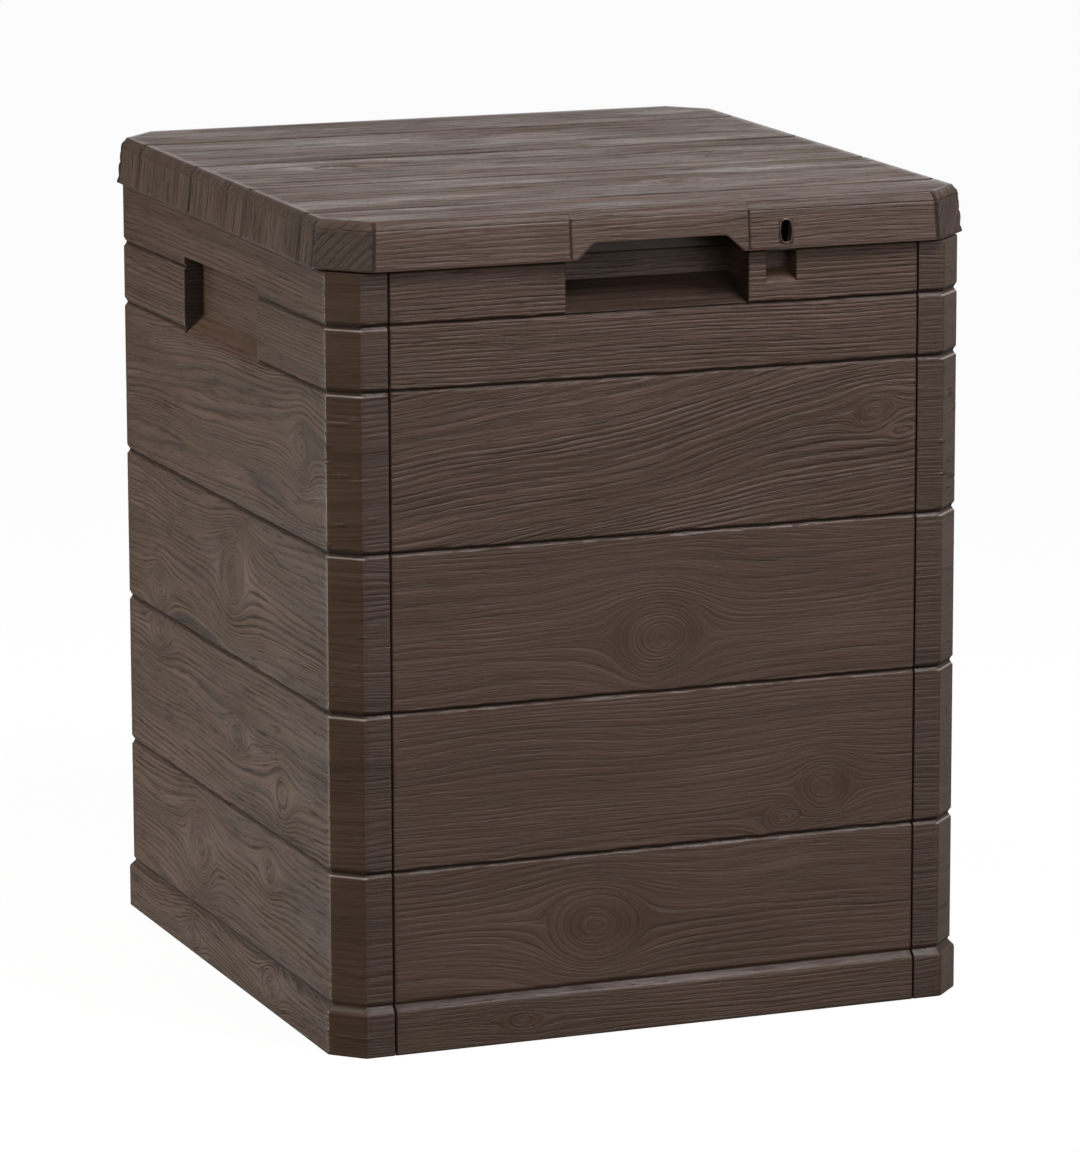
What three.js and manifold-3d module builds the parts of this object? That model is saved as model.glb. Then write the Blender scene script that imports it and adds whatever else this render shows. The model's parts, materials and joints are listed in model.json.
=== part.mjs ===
// Small outdoor deck storage box in injection-moulded resin, with walls and lid moulded as timber boards.
// Four wall panels slide together at the front and back corners, a ribbed floor rests on ledges inside them,
// and a sloped lid turns on two pins in pockets at the top of the back panel.
//
// Millimetres. +X is to the right, +Y to the back and +Z up. The origin is on the ground under the middle.
import * as THREE from "three";
import { ConvexGeometry } from "three/addons/geometries/ConvexGeometry.js";
import { mergeVertices } from "three/addons/utils/BufferGeometryUtils.js";
import Module from "manifold-3d";

const wasm = await Module();
wasm.setup();

// ---------------------------------------------------------------- driving dimensions
const WALL = 3; // thickness of every moulded wall
const GAP = 0.4; // free space between pieces that touch
const HALF_X = 214; // half width over the side boards
const HALF_Y = 220; // half depth over the front and back boards
const CORNER = 17; // chamfer of the four upright corners

const PLINTH_PROUD = 3; // how far the lowest course stands out
const PLINTH_TOP = 32.5;
const FIRST_JOINT = 117.3; // top of the lowest full board
const BOARD_PITCH = 101.2;
const FULL_BOARDS = 3; // boards of the full pitch above the lowest one
const NARROW_BOARD = 40.8;
const GROOVE_DEEP = 1.8;
const GROOVE_HALF = 2;

const LID_TOP = 530; // height of the lid's top surface over the middle of the box
const LID_TILT = Math.atan(0.0158); // the lid falls towards the front, to shed rain
const LID_HALF_X = 220; // at the skirt's lower edge
const LID_HALF_Y = 226;
const LID_CORNER = 28;
const LID_SKIRT = 30.5; // from the top surface to the skirt's lower edge
const LID_BEVEL = 4; // height of the bevel round the top
const LID_BEVEL_IN = 3.5;
const LID_FLARE = 3; // how far the skirt leans out
const LID_SKIN = 2.5; // thickness of the skirt
const LID_RIB = 11; // from the top surface to the foot of the stiffening ribs
const LID_PLANK_JOINTS = [0, 1, 2, 3].map((i) => -169 + 108 * i);
const LID_GROOVE_DEEP = 1.3;
const LID_GROOVE_HALF = 1.6;

const SEAM_X = 178.6; // middle of the open seam between a side panel and the front or back panel
const SEAM_GAP = 1.2;

const PULL = { half: 61.5, deep: 34, lip: 462, floor: 478.5, top: 512 }; // finger recess under the lid
const HANDLE = { half: 73, deep: 13, lip: 417, floor: 429, top: 468 }; // carrying recess in each side
const LOCK = { half: 10, deep: 12, lip: 475, floor: 482, top: 515 }; // padlock pocket
const LOCK_X = 84;
const LOCK_OPEN_TOP = 494; // the pocket's mouth ends here, and the locking tab begins
const SLOT_X = 85;
const SLOT_Z = 507;

const HINGE_X = 130; // middle of each hinge
const HINGE_Y = 211;
const HINGE_Z = 486;
const HINGE_POCKET_HALF = 26;
const PIN_R = 3;
const PIN_BORE_R = 3.35;
const PIN_HEAD_R = 4.8;
const KNUCKLE_R = 6.5;
const ARM_OFFSET = 16; // each hinge has two arms, this far either side of its middle
const ARM_HALF = 4.5;

const FLOOR_TOP = 27;
const FLOOR_RIB_FOOT = 4;

// ---------------------------------------------------------------- shapes
function solid(geometry) {
  const plain = geometry.index ? geometry.toNonIndexed() : geometry.clone();
  plain.deleteAttribute("normal");
  plain.deleteAttribute("uv");
  const merged = mergeVertices(plain, 1e-4);
  const mesh = new wasm.Mesh({
    numProp: 3,
    vertProperties: new Float32Array(merged.attributes.position.array),
    triVerts: new Uint32Array(merged.index.array),
  });
  return new wasm.Manifold(mesh);
}

const join = (solids) => solids.reduce((all, next) => all.add(next));
const cut = (from, tools) => tools.reduce((left, tool) => left.subtract(tool), from);

function box(x0, x1, y0, y1, z0, z1) {
  const geometry = new THREE.BoxGeometry(x1 - x0, y1 - y0, z1 - z0);
  return solid(geometry.translate((x0 + x1) / 2, (y0 + y1) / 2, (z0 + z1) / 2));
}

// Rod along X.
function rod(radius, x0, x1, y, z, sides = 24) {
  const geometry = new THREE.CylinderGeometry(radius, radius, x1 - x0, sides).rotateZ(Math.PI / 2);
  return solid(geometry.translate((x0 + x1) / 2, y, z));
}

// Prism along X, from x0 to x1, of an outline of [y, z] points.
function prismX(outline, x0, x1) {
  const shape = new THREE.Shape(outline.map(([y, z]) => new THREE.Vector2(y, z)));
  const geometry = new THREE.ExtrudeGeometry(shape, { depth: x1 - x0, bevelEnabled: false });
  // The shape's own X, Y and depth become Y, Z and X.
  const turn = new THREE.Matrix4().set(0, 0, 1, x0, 1, 0, 0, 0, 0, 1, 0, 0, 0, 0, 0, 1);
  return solid(geometry.applyMatrix4(turn));
}

// Upright slot with round ends, through the wall from y0 to y1.
function slotY(x, z, width, height, y0, y1) {
  const r = width / 2;
  const straight = height / 2 - r;
  const shape = new THREE.Shape();
  shape.absarc(0, straight, r, 0, Math.PI);
  shape.absarc(0, -straight, r, Math.PI, 2 * Math.PI);
  const options = { depth: y1 - y0, bevelEnabled: false, curveSegments: 10 };
  const geometry = new THREE.ExtrudeGeometry(shape, options);
  return solid(geometry.rotateX(Math.PI / 2).translate(x, y1, z));
}

// Rectangle with chamfered corners, as eight points at height z.
function octagon(halfX, halfY, corner, z) {
  const points = [];
  for (const sx of [-1, 1])
    for (const sy of [-1, 1]) {
      points.push(new THREE.Vector3(sx * halfX, sy * (halfY - corner), z));
      points.push(new THREE.Vector3(sx * (halfX - corner), sy * halfY, z));
    }
  return points;
}

// The wall's outline moved out by an offset, at height z.
function outline(offset, z, corner = CORNER) {
  return octagon(HALF_X + offset, HALF_Y + offset, corner + offset * (2 - Math.SQRT2), z);
}

const hull = (...rings) => solid(new ConvexGeometry(rings.flat()));

// The same hull, leaning with the lid: heights are measured under the middle of the lid.
const leaningHull = (...rings) => solid(new ConvexGeometry(rings.flat()).applyMatrix4(lean));
const lean = new THREE.Matrix4()
  .makeTranslation(0, 0, LID_TOP)
  .multiply(new THREE.Matrix4().makeRotationX(LID_TILT))
  .multiply(new THREE.Matrix4().makeTranslation(0, 0, -LID_TOP));

// Everything above a leaning plane.
const above = (z) => leaningHull(octagon(300, 300, 20, z), octagon(300, 300, 20, z + 100));
const below = (z) => leaningHull(octagon(300, 300, 20, z), octagon(300, 300, 20, z - 700));

// A recess sunk into a wall whose outer face is the plane y = face, seen from outside.
// Its floor slopes up from the lip to the back, so that rain runs out of it.
function scoop({ half, deep, lip, floor, top }, face, x = 0) {
  const slope = (floor - lip) / deep;
  const out = 8;
  const back = face + deep;
  const drop = WALL * Math.hypot(1, slope);
  const hollow = [
    [face - out, lip - out * slope],
    [back, floor],
    [back, top],
    [face - out, top],
  ];
  const skin = 1; // the shell starts inside the wall, 1 mm behind its face
  const shell = [
    [face + skin, lip + skin * slope - drop],
    [back + WALL, floor + WALL * slope - drop],
    [back + WALL, top + WALL],
    [face + skin, top + WALL],
  ];
  return {
    hollow: prismX(hollow, x - half, x + half),
    shell: prismX(shell, x - half - WALL, x + half + WALL),
  };
}

function turned(manifold, angle) {
  const geometry = geometryOf(manifold);
  geometry.rotateZ(angle);
  return solid(geometry);
}

function geometryOf(manifold) {
  const mesh = manifold.getMesh();
  const geometry = new THREE.BufferGeometry();
  geometry.setAttribute("position", new THREE.BufferAttribute(new Float32Array(mesh.vertProperties), 3));
  geometry.setIndex(new THREE.BufferAttribute(new Uint32Array(mesh.triVerts), 1));
  return geometry;
}

// ---------------------------------------------------------------- body shell, before it is split into panels
// One course of boards, with the half grooves at its two edges.
function course(z0, z1) {
  return hull(
    outline(-GROOVE_DEEP, z0),
    outline(0, z0 + GROOVE_HALF),
    outline(0, z1 - GROOVE_HALF),
    outline(-GROOVE_DEEP, z1),
  );
}

const SHELF = LID_TOP - LID_SKIRT - 1; // where the boards end, just below the lid's skirt
const RIM_TOP_FRONT = LID_TOP - WALL - GAP; // the closed lid rests on the front rim
const RIM_TOP = RIM_TOP_FRONT - 1.2; // the others stand clear, so that the lid can turn over the back rim
const RIM_OFFSET = -0.6;
const RIM_CORNER = 25; // the rim's corners are cut back to go inside the lid's corners

function bodyShell() {
  const joints = [PLINTH_TOP, FIRST_JOINT];
  for (let i = 1; i <= FULL_BOARDS; i++) joints.push(FIRST_JOINT + i * BOARD_PITCH);
  joints.push(joints.at(-1) + NARROW_BOARD, LID_TOP + 20);
  const courses = joints.slice(1).map((z, i) => course(joints[i], z));
  const plinth = hull(
    outline(PLINTH_PROUD, 0),
    outline(PLINTH_PROUD, PLINTH_TOP - PLINTH_PROUD - GROOVE_DEEP),
    outline(-GROOVE_DEEP, PLINTH_TOP),
  );
  const core = hull(outline(-GROOVE_DEEP, 1), outline(-GROOVE_DEEP, LID_TOP));
  const boards = cut(join([plinth, core, ...courses]), [above(SHELF)]);
  const rimIn = RIM_OFFSET - WALL;
  const rim = leaningHull(
    outline(RIM_OFFSET, SHELF - WALL, RIM_CORNER),
    outline(RIM_OFFSET, RIM_TOP_FRONT, RIM_CORNER),
  );
  const room = cut(hull(outline(-WALL, -1), outline(-WALL, LID_TOP)), [above(SHELF - WALL)]);
  const rimRoom = leaningHull(
    outline(rimIn, SHELF - WALL - 1, RIM_CORNER),
    outline(rimIn, LID_TOP + 20, RIM_CORNER),
  );
  return cut(boards.add(rim), [room, rimRoom]);
}

const shell = bodyShell();

// ---------------------------------------------------------------- corner joints
// The front and back panels carry a flange at each side, which slides down into a channel in the side panel.
const FLANGE_Z0 = 4;
const FLANGE_Z1 = 490;
const FLANGE_END = SEAM_X + 11.4;
const flangeRoot = SEAM_X - SEAM_GAP / 2 - 6;
const flangeFace = HALF_Y - WALL - GAP;
const channelLip = flangeFace - WALL - GAP;
const channelFace = channelLip - WALL;

function flange(side, end) {
  const [x0, x1] = [side * flangeRoot, side * FLANGE_END].sort((a, b) => a - b);
  const [j0, j1] = [side * flangeRoot, side * (flangeRoot + 6)].sort((a, b) => a - b);
  const [y0, y1] = [end * (flangeFace - WALL), end * flangeFace].sort((a, b) => a - b);
  const [k0, k1] = [end * (flangeFace - WALL), end * (HALF_Y - 1 - GROOVE_DEEP)].sort((a, b) => a - b);
  const strip = box(x0, x1, y0, y1, FLANGE_Z0, FLANGE_Z1);
  return strip.add(box(j0, j1, k0, k1, FLANGE_Z0, FLANGE_Z1));
}

function channel(side, end) {
  const web = FLANGE_END + GAP;
  const [x0, x1] = [side * web, side * (web + WALL)].sort((a, b) => a - b);
  const [l0, l1] = [side * (SEAM_X + 3), side * (web + WALL)].sort((a, b) => a - b);
  const [y0, y1] = [end * channelFace, end * (HALF_Y - WALL + 0.5)].sort((a, b) => a - b);
  const [k0, k1] = [end * channelFace, end * channelLip].sort((a, b) => a - b);
  return box(x0, x1, y0, y1, FLANGE_Z0, FLANGE_Z1).add(box(l0, l1, k0, k1, FLANGE_Z0, FLANGE_Z1));
}

// ---------------------------------------------------------------- side panels
const LEDGE_TOP = FLOOR_TOP - WALL - GAP;
const LEDGE_IN = 6;

function sidePanel(side) {
  const reach = SEAM_X + SEAM_GAP / 2;
  const region = side < 0 ? box(-300, -reach, -300, 300, -1, 600) : box(reach, 300, -300, 300, -1, 600);
  // The recess is drawn in a wall facing -Y, then turned to face left or right.
  const { hollow, shell: pocket } = scoop(HANDLE, -HALF_X);
  const angle = side < 0 ? -Math.PI / 2 : Math.PI / 2;
  const x0 = HALF_X - WALL - LEDGE_IN;
  const [l0, l1] = [side * x0, side * (HALF_X - WALL + 1)].sort((a, b) => a - b);
  const ledge = box(l0, l1, -195, 195, LEDGE_TOP - WALL, LEDGE_TOP);
  const walls = cut(shell.intersect(region), [above(RIM_TOP)]);
  const whole = join([walls, turned(pocket, angle), ledge, channel(side, -1), channel(side, 1)]);
  return cut(whole, [turned(hollow, angle)]);
}

// ---------------------------------------------------------------- front panel
const panelHalf = SEAM_X - SEAM_GAP / 2;

function ledgeAcross(end) {
  const [y0, y1] = [end * (HALF_Y - WALL - LEDGE_IN), end * (HALF_Y - WALL + 1)].sort((a, b) => a - b);
  return box(-165, 165, y0, y1, LEDGE_TOP - WALL, LEDGE_TOP);
}

function frontPanel() {
  const region = box(-panelHalf, panelHalf, -300, -150, -1, 600);
  const pull = scoop(PULL, -HALF_Y);
  const lock = scoop(LOCK, -HALF_Y, LOCK_X);
  // The tab stands between the pocket's mouth and the rim, and a shackle goes through its slot.
  const tabBack = -HALF_Y - RIM_OFFSET + WALL;
  const tab = box(LOCK_X - LOCK.half - 1, LOCK_X + LOCK.half + 1, -HALF_Y - 20, tabBack, LOCK_OPEN_TOP, LOCK.top + 1);
  const slot = slotY(SLOT_X, SLOT_Z, 8, 15, -HALF_Y - 5, -HALF_Y + 8);
  const whole = join([
    shell.intersect(region),
    pull.shell,
    lock.shell,
    ledgeAcross(-1),
    flange(-1, -1),
    flange(1, -1),
  ]);
  return cut(whole, [pull.hollow, cut(lock.hollow, [tab]), slot]);
}

// ---------------------------------------------------------------- back panel
const POCKET_Y = HINGE_Y - KNUCKLE_R - 1;
const POCKET_Z0 = HINGE_Z - KNUCKLE_R - 1;
const POCKET_Z1 = HINGE_Z + 16;

function hingePocket(side) {
  const x0 = side * HINGE_X - HINGE_POCKET_HALF;
  const x1 = side * HINGE_X + HINGE_POCKET_HALF;
  return {
    shell: box(x0 - WALL, x1 + WALL, POCKET_Y - WALL, HALF_Y - 1.2, POCKET_Z0 - WALL, POCKET_Z1 + WALL),
    hollow: box(x0, x1, POCKET_Y, HALF_Y + 10, POCKET_Z0, POCKET_Z1),
    bore: rod(PIN_BORE_R, x0 - WALL - 1, x1 + WALL + 1, HINGE_Y, HINGE_Z),
  };
}

function backPanel() {
  const region = box(-panelHalf, panelHalf, 150, 300, -1, 600);
  const pockets = [-1, 1].map(hingePocket);
  const walls = cut(shell.intersect(region), [above(RIM_TOP)]);
  const whole = join([walls, ...pockets.map((p) => p.shell), ledgeAcross(1), flange(-1, 1), flange(1, 1)]);
  return cut(whole, [...pockets.map((p) => p.hollow), ...pockets.map((p) => p.bore)]);
}

// ---------------------------------------------------------------- floor
function floorPanel() {
  const insideX = HALF_X - WALL - GAP;
  const insideY = channelFace - GAP;
  const z0 = FLOOR_TOP - WALL;
  const plate = hull(octagon(insideX, insideY, 11, z0), octagon(insideX, insideY, 11, FLOOR_TOP));
  // A tongue at the front and back reaches past the channels, between the flanges.
  const tongueX = flangeRoot - GAP;
  const tongueY = HALF_Y - WALL - GAP;
  const tongue = box(-tongueX, tongueX, -tongueY, tongueY, z0, FLOOR_TOP);
  const ribs = [];
  const reach = 200;
  const spacing = 50;
  for (let at = -reach; at <= reach; at += spacing) {
    ribs.push(box(at - 1.25, at + 1.25, -reach - 1.25, reach + 1.25, FLOOR_RIB_FOOT, z0 + 1));
    ribs.push(box(-reach - 1.25, reach + 1.25, at - 1.25, at + 1.25, FLOOR_RIB_FOOT, z0 + 1));
  }
  const drains = [];
  for (const x of [-175, 175])
    for (const y of [-175, 175]) {
      const drain = new THREE.CylinderGeometry(4, 4, 20, 16).rotateX(Math.PI / 2);
      drains.push(solid(drain.translate(x, y, FLOOR_TOP)));
    }
  return cut(join([plate, tongue, ...ribs]), drains);
}

// ---------------------------------------------------------------- lid, in its own frame: z is 0 at the top surface
const lidGroup = new THREE.Group();
// The leaning skirt's lower edge is centred over the body.
lidGroup.position.set(0, -LID_SKIRT * Math.sin(LID_TILT), LID_TOP);
lidGroup.rotation.x = LID_TILT;
lidGroup.updateMatrixWorld(true);

// The skirt's outline, inset from its lower edge, at height z.
function lidRing(inset, z) {
  const corner = LID_CORNER - inset * (2 - Math.SQRT2);
  return octagon(LID_HALF_X - inset, LID_HALF_Y - inset, corner, z);
}

// V-shaped prism along X on the top surface, or across it when turned.
function groove(length, deep, half) {
  const shape = new THREE.Shape([
    new THREE.Vector2(-half - 0.5, 0.5 * (deep / half)),
    new THREE.Vector2(0, -deep),
    new THREE.Vector2(half + 0.5, 0.5 * (deep / half)),
  ]);
  return new THREE.ExtrudeGeometry(shape, { depth: length, bevelEnabled: false }).translate(0, 0, -length / 2);
}

// Grooves cross the top along X and run down both side skirts, which lean out.
function plankGrooves() {
  const lean = Math.atan2(LID_FLARE, LID_SKIRT - LID_BEVEL);
  const tools = [];
  for (const y of LID_PLANK_JOINTS) {
    const across = groove(2 * LID_HALF_X + 20, LID_GROOVE_DEEP, LID_GROOVE_HALF).rotateY(Math.PI / 2);
    tools.push(solid(across.translate(0, y, 0)));
    for (const side of [-1, 1]) {
      // Laid along Z with its point towards the lid, then leaned with the skirt.
      const down = groove(LID_SKIRT + 10, LID_GROOVE_DEEP, LID_GROOVE_HALF).rotateZ(-side * Math.PI / 2);
      down.rotateY(-side * lean);
      const middle = LID_HALF_X - LID_FLARE / 2;
      tools.push(solid(down.translate(side * middle, y, -(LID_SKIRT + LID_BEVEL) / 2)));
    }
  }
  return tools;
}

// Two arms for each hinge: a knuckle round the pin, a neck that leaves the pocket, and a riser into the skirt.
function hingeArms() {
  const axis = lidGroup.worldToLocal(new THREE.Vector3(0, HINGE_Y, HINGE_Z));
  const profile = [
    [-4, 0],
    [4, 0],
    [4, 10],
    [5, 11],
    [9, 11.5],
    [12.8, 12.8],
    [12.8, 30],
    [9.6, 30],
    [9.6, 15],
    [-4, 15],
  ].map(([y, z]) => [axis.y + y, axis.z + z]);
  const arms = [];
  const bores = [];
  for (const side of [-1, 1])
    for (const step of [-1, 1]) {
      const x = side * HINGE_X + step * ARM_OFFSET;
      arms.push(prismX(profile, x - ARM_HALF, x + ARM_HALF));
      arms.push(rod(KNUCKLE_R, x - ARM_HALF, x + ARM_HALF, axis.y, axis.z));
      bores.push(rod(PIN_BORE_R, x - ARM_HALF - 1, x + ARM_HALF + 1, axis.y, axis.z));
    }
  return { arms, bores };
}

function lidRibs() {
  const ribs = [];
  const reach = 172;
  const foot = -LID_RIB;
  const half = 1.1;
  for (let i = -2; i <= 2; i++) {
    const at = (i * reach) / 2;
    ribs.push(box(at - half, at + half, -reach - half, reach + half, foot, -WALL + 0.5));
    ribs.push(box(-reach - half, reach + half, at - half, at + half, foot, -WALL + 0.5));
  }
  return ribs;
}

function lid() {
  const bevelFoot = LID_FLARE;
  const top = LID_FLARE + LID_BEVEL_IN;
  const outside = hull(lidRing(top, 0), lidRing(bevelFoot, -LID_BEVEL), lidRing(0, -LID_SKIRT));
  // The inside leans with the skirt and runs on below its lower edge, so that the cut is clean.
  const lean = LID_FLARE / (LID_SKIRT - LID_BEVEL);
  const under = 4;
  const inset = (z) => LID_SKIN + (LID_SKIRT + z) * lean;
  const inside = hull(lidRing(inset(-WALL), -WALL), lidRing(inset(-LID_SKIRT - under), -LID_SKIRT - under));
  const skirt = outside.subtract(inside);
  const front = -LID_HALF_Y;
  // The middle of the front skirt is cut up, so that fingers can reach under it.
  const notchLow = LID_SKIRT + 2;
  const notchTop = LID_SKIRT - 10.7;
  const notchShape = new THREE.Shape();
  notchShape.moveTo(-58, -notchLow);
  notchShape.lineTo(58, -notchLow);
  notchShape.lineTo(44.5, -notchTop);
  notchShape.lineTo(-44.5, -notchTop);
  const notch = new THREE.ExtrudeGeometry(notchShape, { depth: 20, bevelEnabled: false });
  notch.rotateX(Math.PI / 2).translate(0, front + 15, 0);
  // An eyelet stands proud round the padlock slot.
  const slotHeight = SLOT_Z - LID_TOP - LID_TILT * front;
  const eyelet = slotY(SLOT_X, slotHeight, 11, 18, front + 0.6, front + 3);
  const slot = slotY(SLOT_X, slotHeight, 7.3, 13.7, front - 5, front + 8);
  const { arms, bores } = hingeArms();
  const whole = join([skirt, eyelet, ...arms, ...lidRibs()]);
  return cut(whole, [solid(notch), slot, ...bores, ...plankGrooves(), ...frontMarks()]);
}

// Two shallow upright joints in the front skirt, either side of the finger notch.
function frontMarks() {
  const lean = Math.atan2(LID_FLARE, LID_SKIRT - LID_BEVEL);
  return [-60, 60].map((x) => {
    const mark = groove(LID_SKIRT + 10, 0.8, 1).rotateZ(Math.PI);
    mark.rotateX(-lean);
    return solid(mark.translate(x, -LID_HALF_Y + LID_FLARE / 2, -(LID_SKIRT + LID_BEVEL) / 2));
  });
}

// ---------------------------------------------------------------- hinge pins
function hingePin(side) {
  const near = HINGE_X - HINGE_POCKET_HALF - WALL;
  const far = HINGE_X + HINGE_POCKET_HALF + WALL;
  const headFrom = far + GAP;
  const [s0, s1] = [side * (near - 2.5), side * (headFrom + 1)].sort((a, b) => a - b);
  const [h0, h1] = [side * headFrom, side * (headFrom + 2.5)].sort((a, b) => a - b);
  return rod(PIN_R, s0, s1, HINGE_Y, HINGE_Z).add(rod(PIN_HEAD_R, h0, h1, HINGE_Y, HINGE_Z));
}

// ---------------------------------------------------------------- materials and assembly
const resin = new THREE.MeshStandardMaterial({ color: 0x4f443d, roughness: 0.55, metalness: 0 });
const plainResin = new THREE.MeshStandardMaterial({ color: 0x463c35, roughness: 0.5, metalness: 0 });
const pinResin = new THREE.MeshStandardMaterial({ color: 0x2b2522, roughness: 0.45, metalness: 0 });

function piece(name, manifold, material) {
  const geometry = geometryOf(manifold).toNonIndexed();
  geometry.computeVertexNormals();
  const mesh = new THREE.Mesh(geometry, material);
  mesh.name = name;
  return mesh;
}

const storageBox = new THREE.Group();
storageBox.add(piece("left_side_panel", sidePanel(-1), resin));
storageBox.add(piece("right_side_panel", sidePanel(1), resin));
storageBox.add(piece("front_panel", frontPanel(), resin));
storageBox.add(piece("back_panel", backPanel(), resin));
storageBox.add(piece("floor_panel", floorPanel(), plainResin));
storageBox.add(piece("hinge_pin_left", hingePin(-1), pinResin));
storageBox.add(piece("hinge_pin_right", hingePin(1), pinResin));
lidGroup.add(piece("lid", lid(), resin));
storageBox.add(lidGroup);

export default storageBox;
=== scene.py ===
"""Looks of the deck storage box: moulded resin boards with an embossed wood grain.

Each panel is a dense sheet of mesh that follows the wall's own section: courses of boards, plinth, recesses and rim.
Growth rings, fibres and knots are pressed into it, and the grain's own coordinates ride on the vertices, so that the
material draws its finest lines along the same grain.
"""

import json
import math
from types import SimpleNamespace as Values

import bmesh
import bpy
import numpy as np
from mathutils import Matrix, Vector


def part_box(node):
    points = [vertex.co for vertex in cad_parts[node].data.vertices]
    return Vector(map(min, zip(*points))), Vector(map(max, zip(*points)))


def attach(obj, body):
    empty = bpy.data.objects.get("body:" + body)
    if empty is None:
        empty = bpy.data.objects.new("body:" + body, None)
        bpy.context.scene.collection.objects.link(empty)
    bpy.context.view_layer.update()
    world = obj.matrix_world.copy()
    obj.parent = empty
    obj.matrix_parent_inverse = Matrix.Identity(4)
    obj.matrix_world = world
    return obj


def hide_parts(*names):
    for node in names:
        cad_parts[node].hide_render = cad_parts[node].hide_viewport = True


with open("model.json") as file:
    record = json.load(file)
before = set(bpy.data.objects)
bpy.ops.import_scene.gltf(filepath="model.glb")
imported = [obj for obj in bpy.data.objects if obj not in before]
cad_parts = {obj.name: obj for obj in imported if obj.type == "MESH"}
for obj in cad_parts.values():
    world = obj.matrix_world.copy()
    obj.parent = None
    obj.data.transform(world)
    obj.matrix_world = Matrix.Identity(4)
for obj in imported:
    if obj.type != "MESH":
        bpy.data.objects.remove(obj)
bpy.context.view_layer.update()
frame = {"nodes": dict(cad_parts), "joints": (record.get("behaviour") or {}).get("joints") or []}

# ---------------------------------------------------------------- sizes, in millimetres
MM = 0.001

panel_low, panel_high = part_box("right_side_panel")
lid_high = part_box("lid")[1]

WALL = 3
PLAY = 0.4
PLINTH_PROUD = 3
HALF_X = panel_high.x / MM - PLINTH_PROUD
HALF_Y = panel_high.y / MM - PLINTH_PROUD
CORNER = 17
RIM_CORNER = 25
RIM_IN = 0.6
PANEL_EDGE = 178.0
RETURN_EDGE = panel_low.x / MM
PLINTH_TOP = 32.5
JOINTS = [117.3, 218.5, 319.7, 420.9, 461.7]
GROOVE_DEEP = 2.1
LEAN_FROM = 472

LID_TILT = math.atan(0.0158)
SLOPE = math.tan(LID_TILT)
LID_TOP = 530
LID_SKIRT = 30.5
LID_HALF_X = lid_high.x / MM
LID_HALF_Y = 226
LID_CORNER = 28
LID_BEVEL = 4
LID_BEVEL_IN = 3.5
LID_FLARE = 3
LID_SKIN = 2.5
LID_RIB = 11
PLANK_JOINTS = [-169, -61, 47, 155]
SHELF = LID_TOP - LID_SKIRT - 1
RIM_TOP_FRONT = LID_TOP - WALL - 0.4
RIM_TOP = RIM_TOP_FRONT - 1.2

PULL = Values(u=0, half=61.5, deep=34, lip=462, floor=478.5, top=512)
HANDLE = Values(u=0, half=73, deep=13, lip=417, floor=429, top=468)
LOCK = Values(u=84, half=10, deep=12, lip=475, floor=482, top=515)
SLOT_X = 85
SLOT_Z = 507

hinge = frame["joints"][0]["pos_m"]
HINGE_Y = hinge[1] / MM
HINGE_Z = hinge[2] / MM
HINGE_X = 130
POCKET_HALF = 26
POCKET_Y = HINGE_Y - 7.5
POCKET_Z0 = HINGE_Z - 7.5
KNUCKLE_R = 6.5
PIN_R = 3
BORE_R = 3.35
ARM_OFFSET = 16
ARM_HALF = 4.5

STEP_ACROSS = 0.95
STEP_ALONG = 3.2
STEADY = 165  # stations up to here keep their place, and the rest stretch to the corner
SIDE_END = 203.0
INNER_STEP = 14
FAR = 9.0
GRAINED, SMOOTH = 0, 1  # places in a piece's list of materials

# ---------------------------------------------------------------- noise
LATTICE = np.random.default_rng(11).uniform(-1, 1, (256, 256))


def noise(x, y, seed=0):
    """Smooth noise from -1 to 1 that changes over one unit of x and of y."""
    x, y = np.broadcast_arrays(np.asarray(x, float) + 37.7 * seed, np.asarray(y, float) + 91.3 * seed)
    i = np.floor(x).astype(int)
    j = np.floor(y).astype(int)
    fx, fy = (f * f * (3 - 2 * f) for f in (x - i, y - j))
    low, high = (LATTICE[i & 255, k & 255] * (1 - fx) + LATTICE[(i + 1) & 255, k & 255] * fx for k in (j, j + 1))
    return low * (1 - fy) + high * fy


def ease(x, low, high):
    t = np.clip((x - low) / (high - low), 0, 1)
    return t * t * (3 - 2 * t)


def nearest(values, marks):
    """Distance to the nearest mark, up to FAR."""
    return np.minimum(FAR, np.min([np.abs(values - mark) for mark in marks], axis=0))


# ---------------------------------------------------------------- wood figure
BOARD_SHIFT = 1000


def board(seed, knots=(), spacing=3.2, strength=1.0, wave=3.0, slope=0.0, sharp=1.0, bunch=1.5, contrast=1.0):
    """One board's figure. A knot is (along, across, radius, stretch)."""
    return Values(seed=seed, knots=knots, spacing=spacing, strength=strength, wave=wave, slope=slope, sharp=sharp,
                  bunch=bunch, contrast=contrast)


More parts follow.
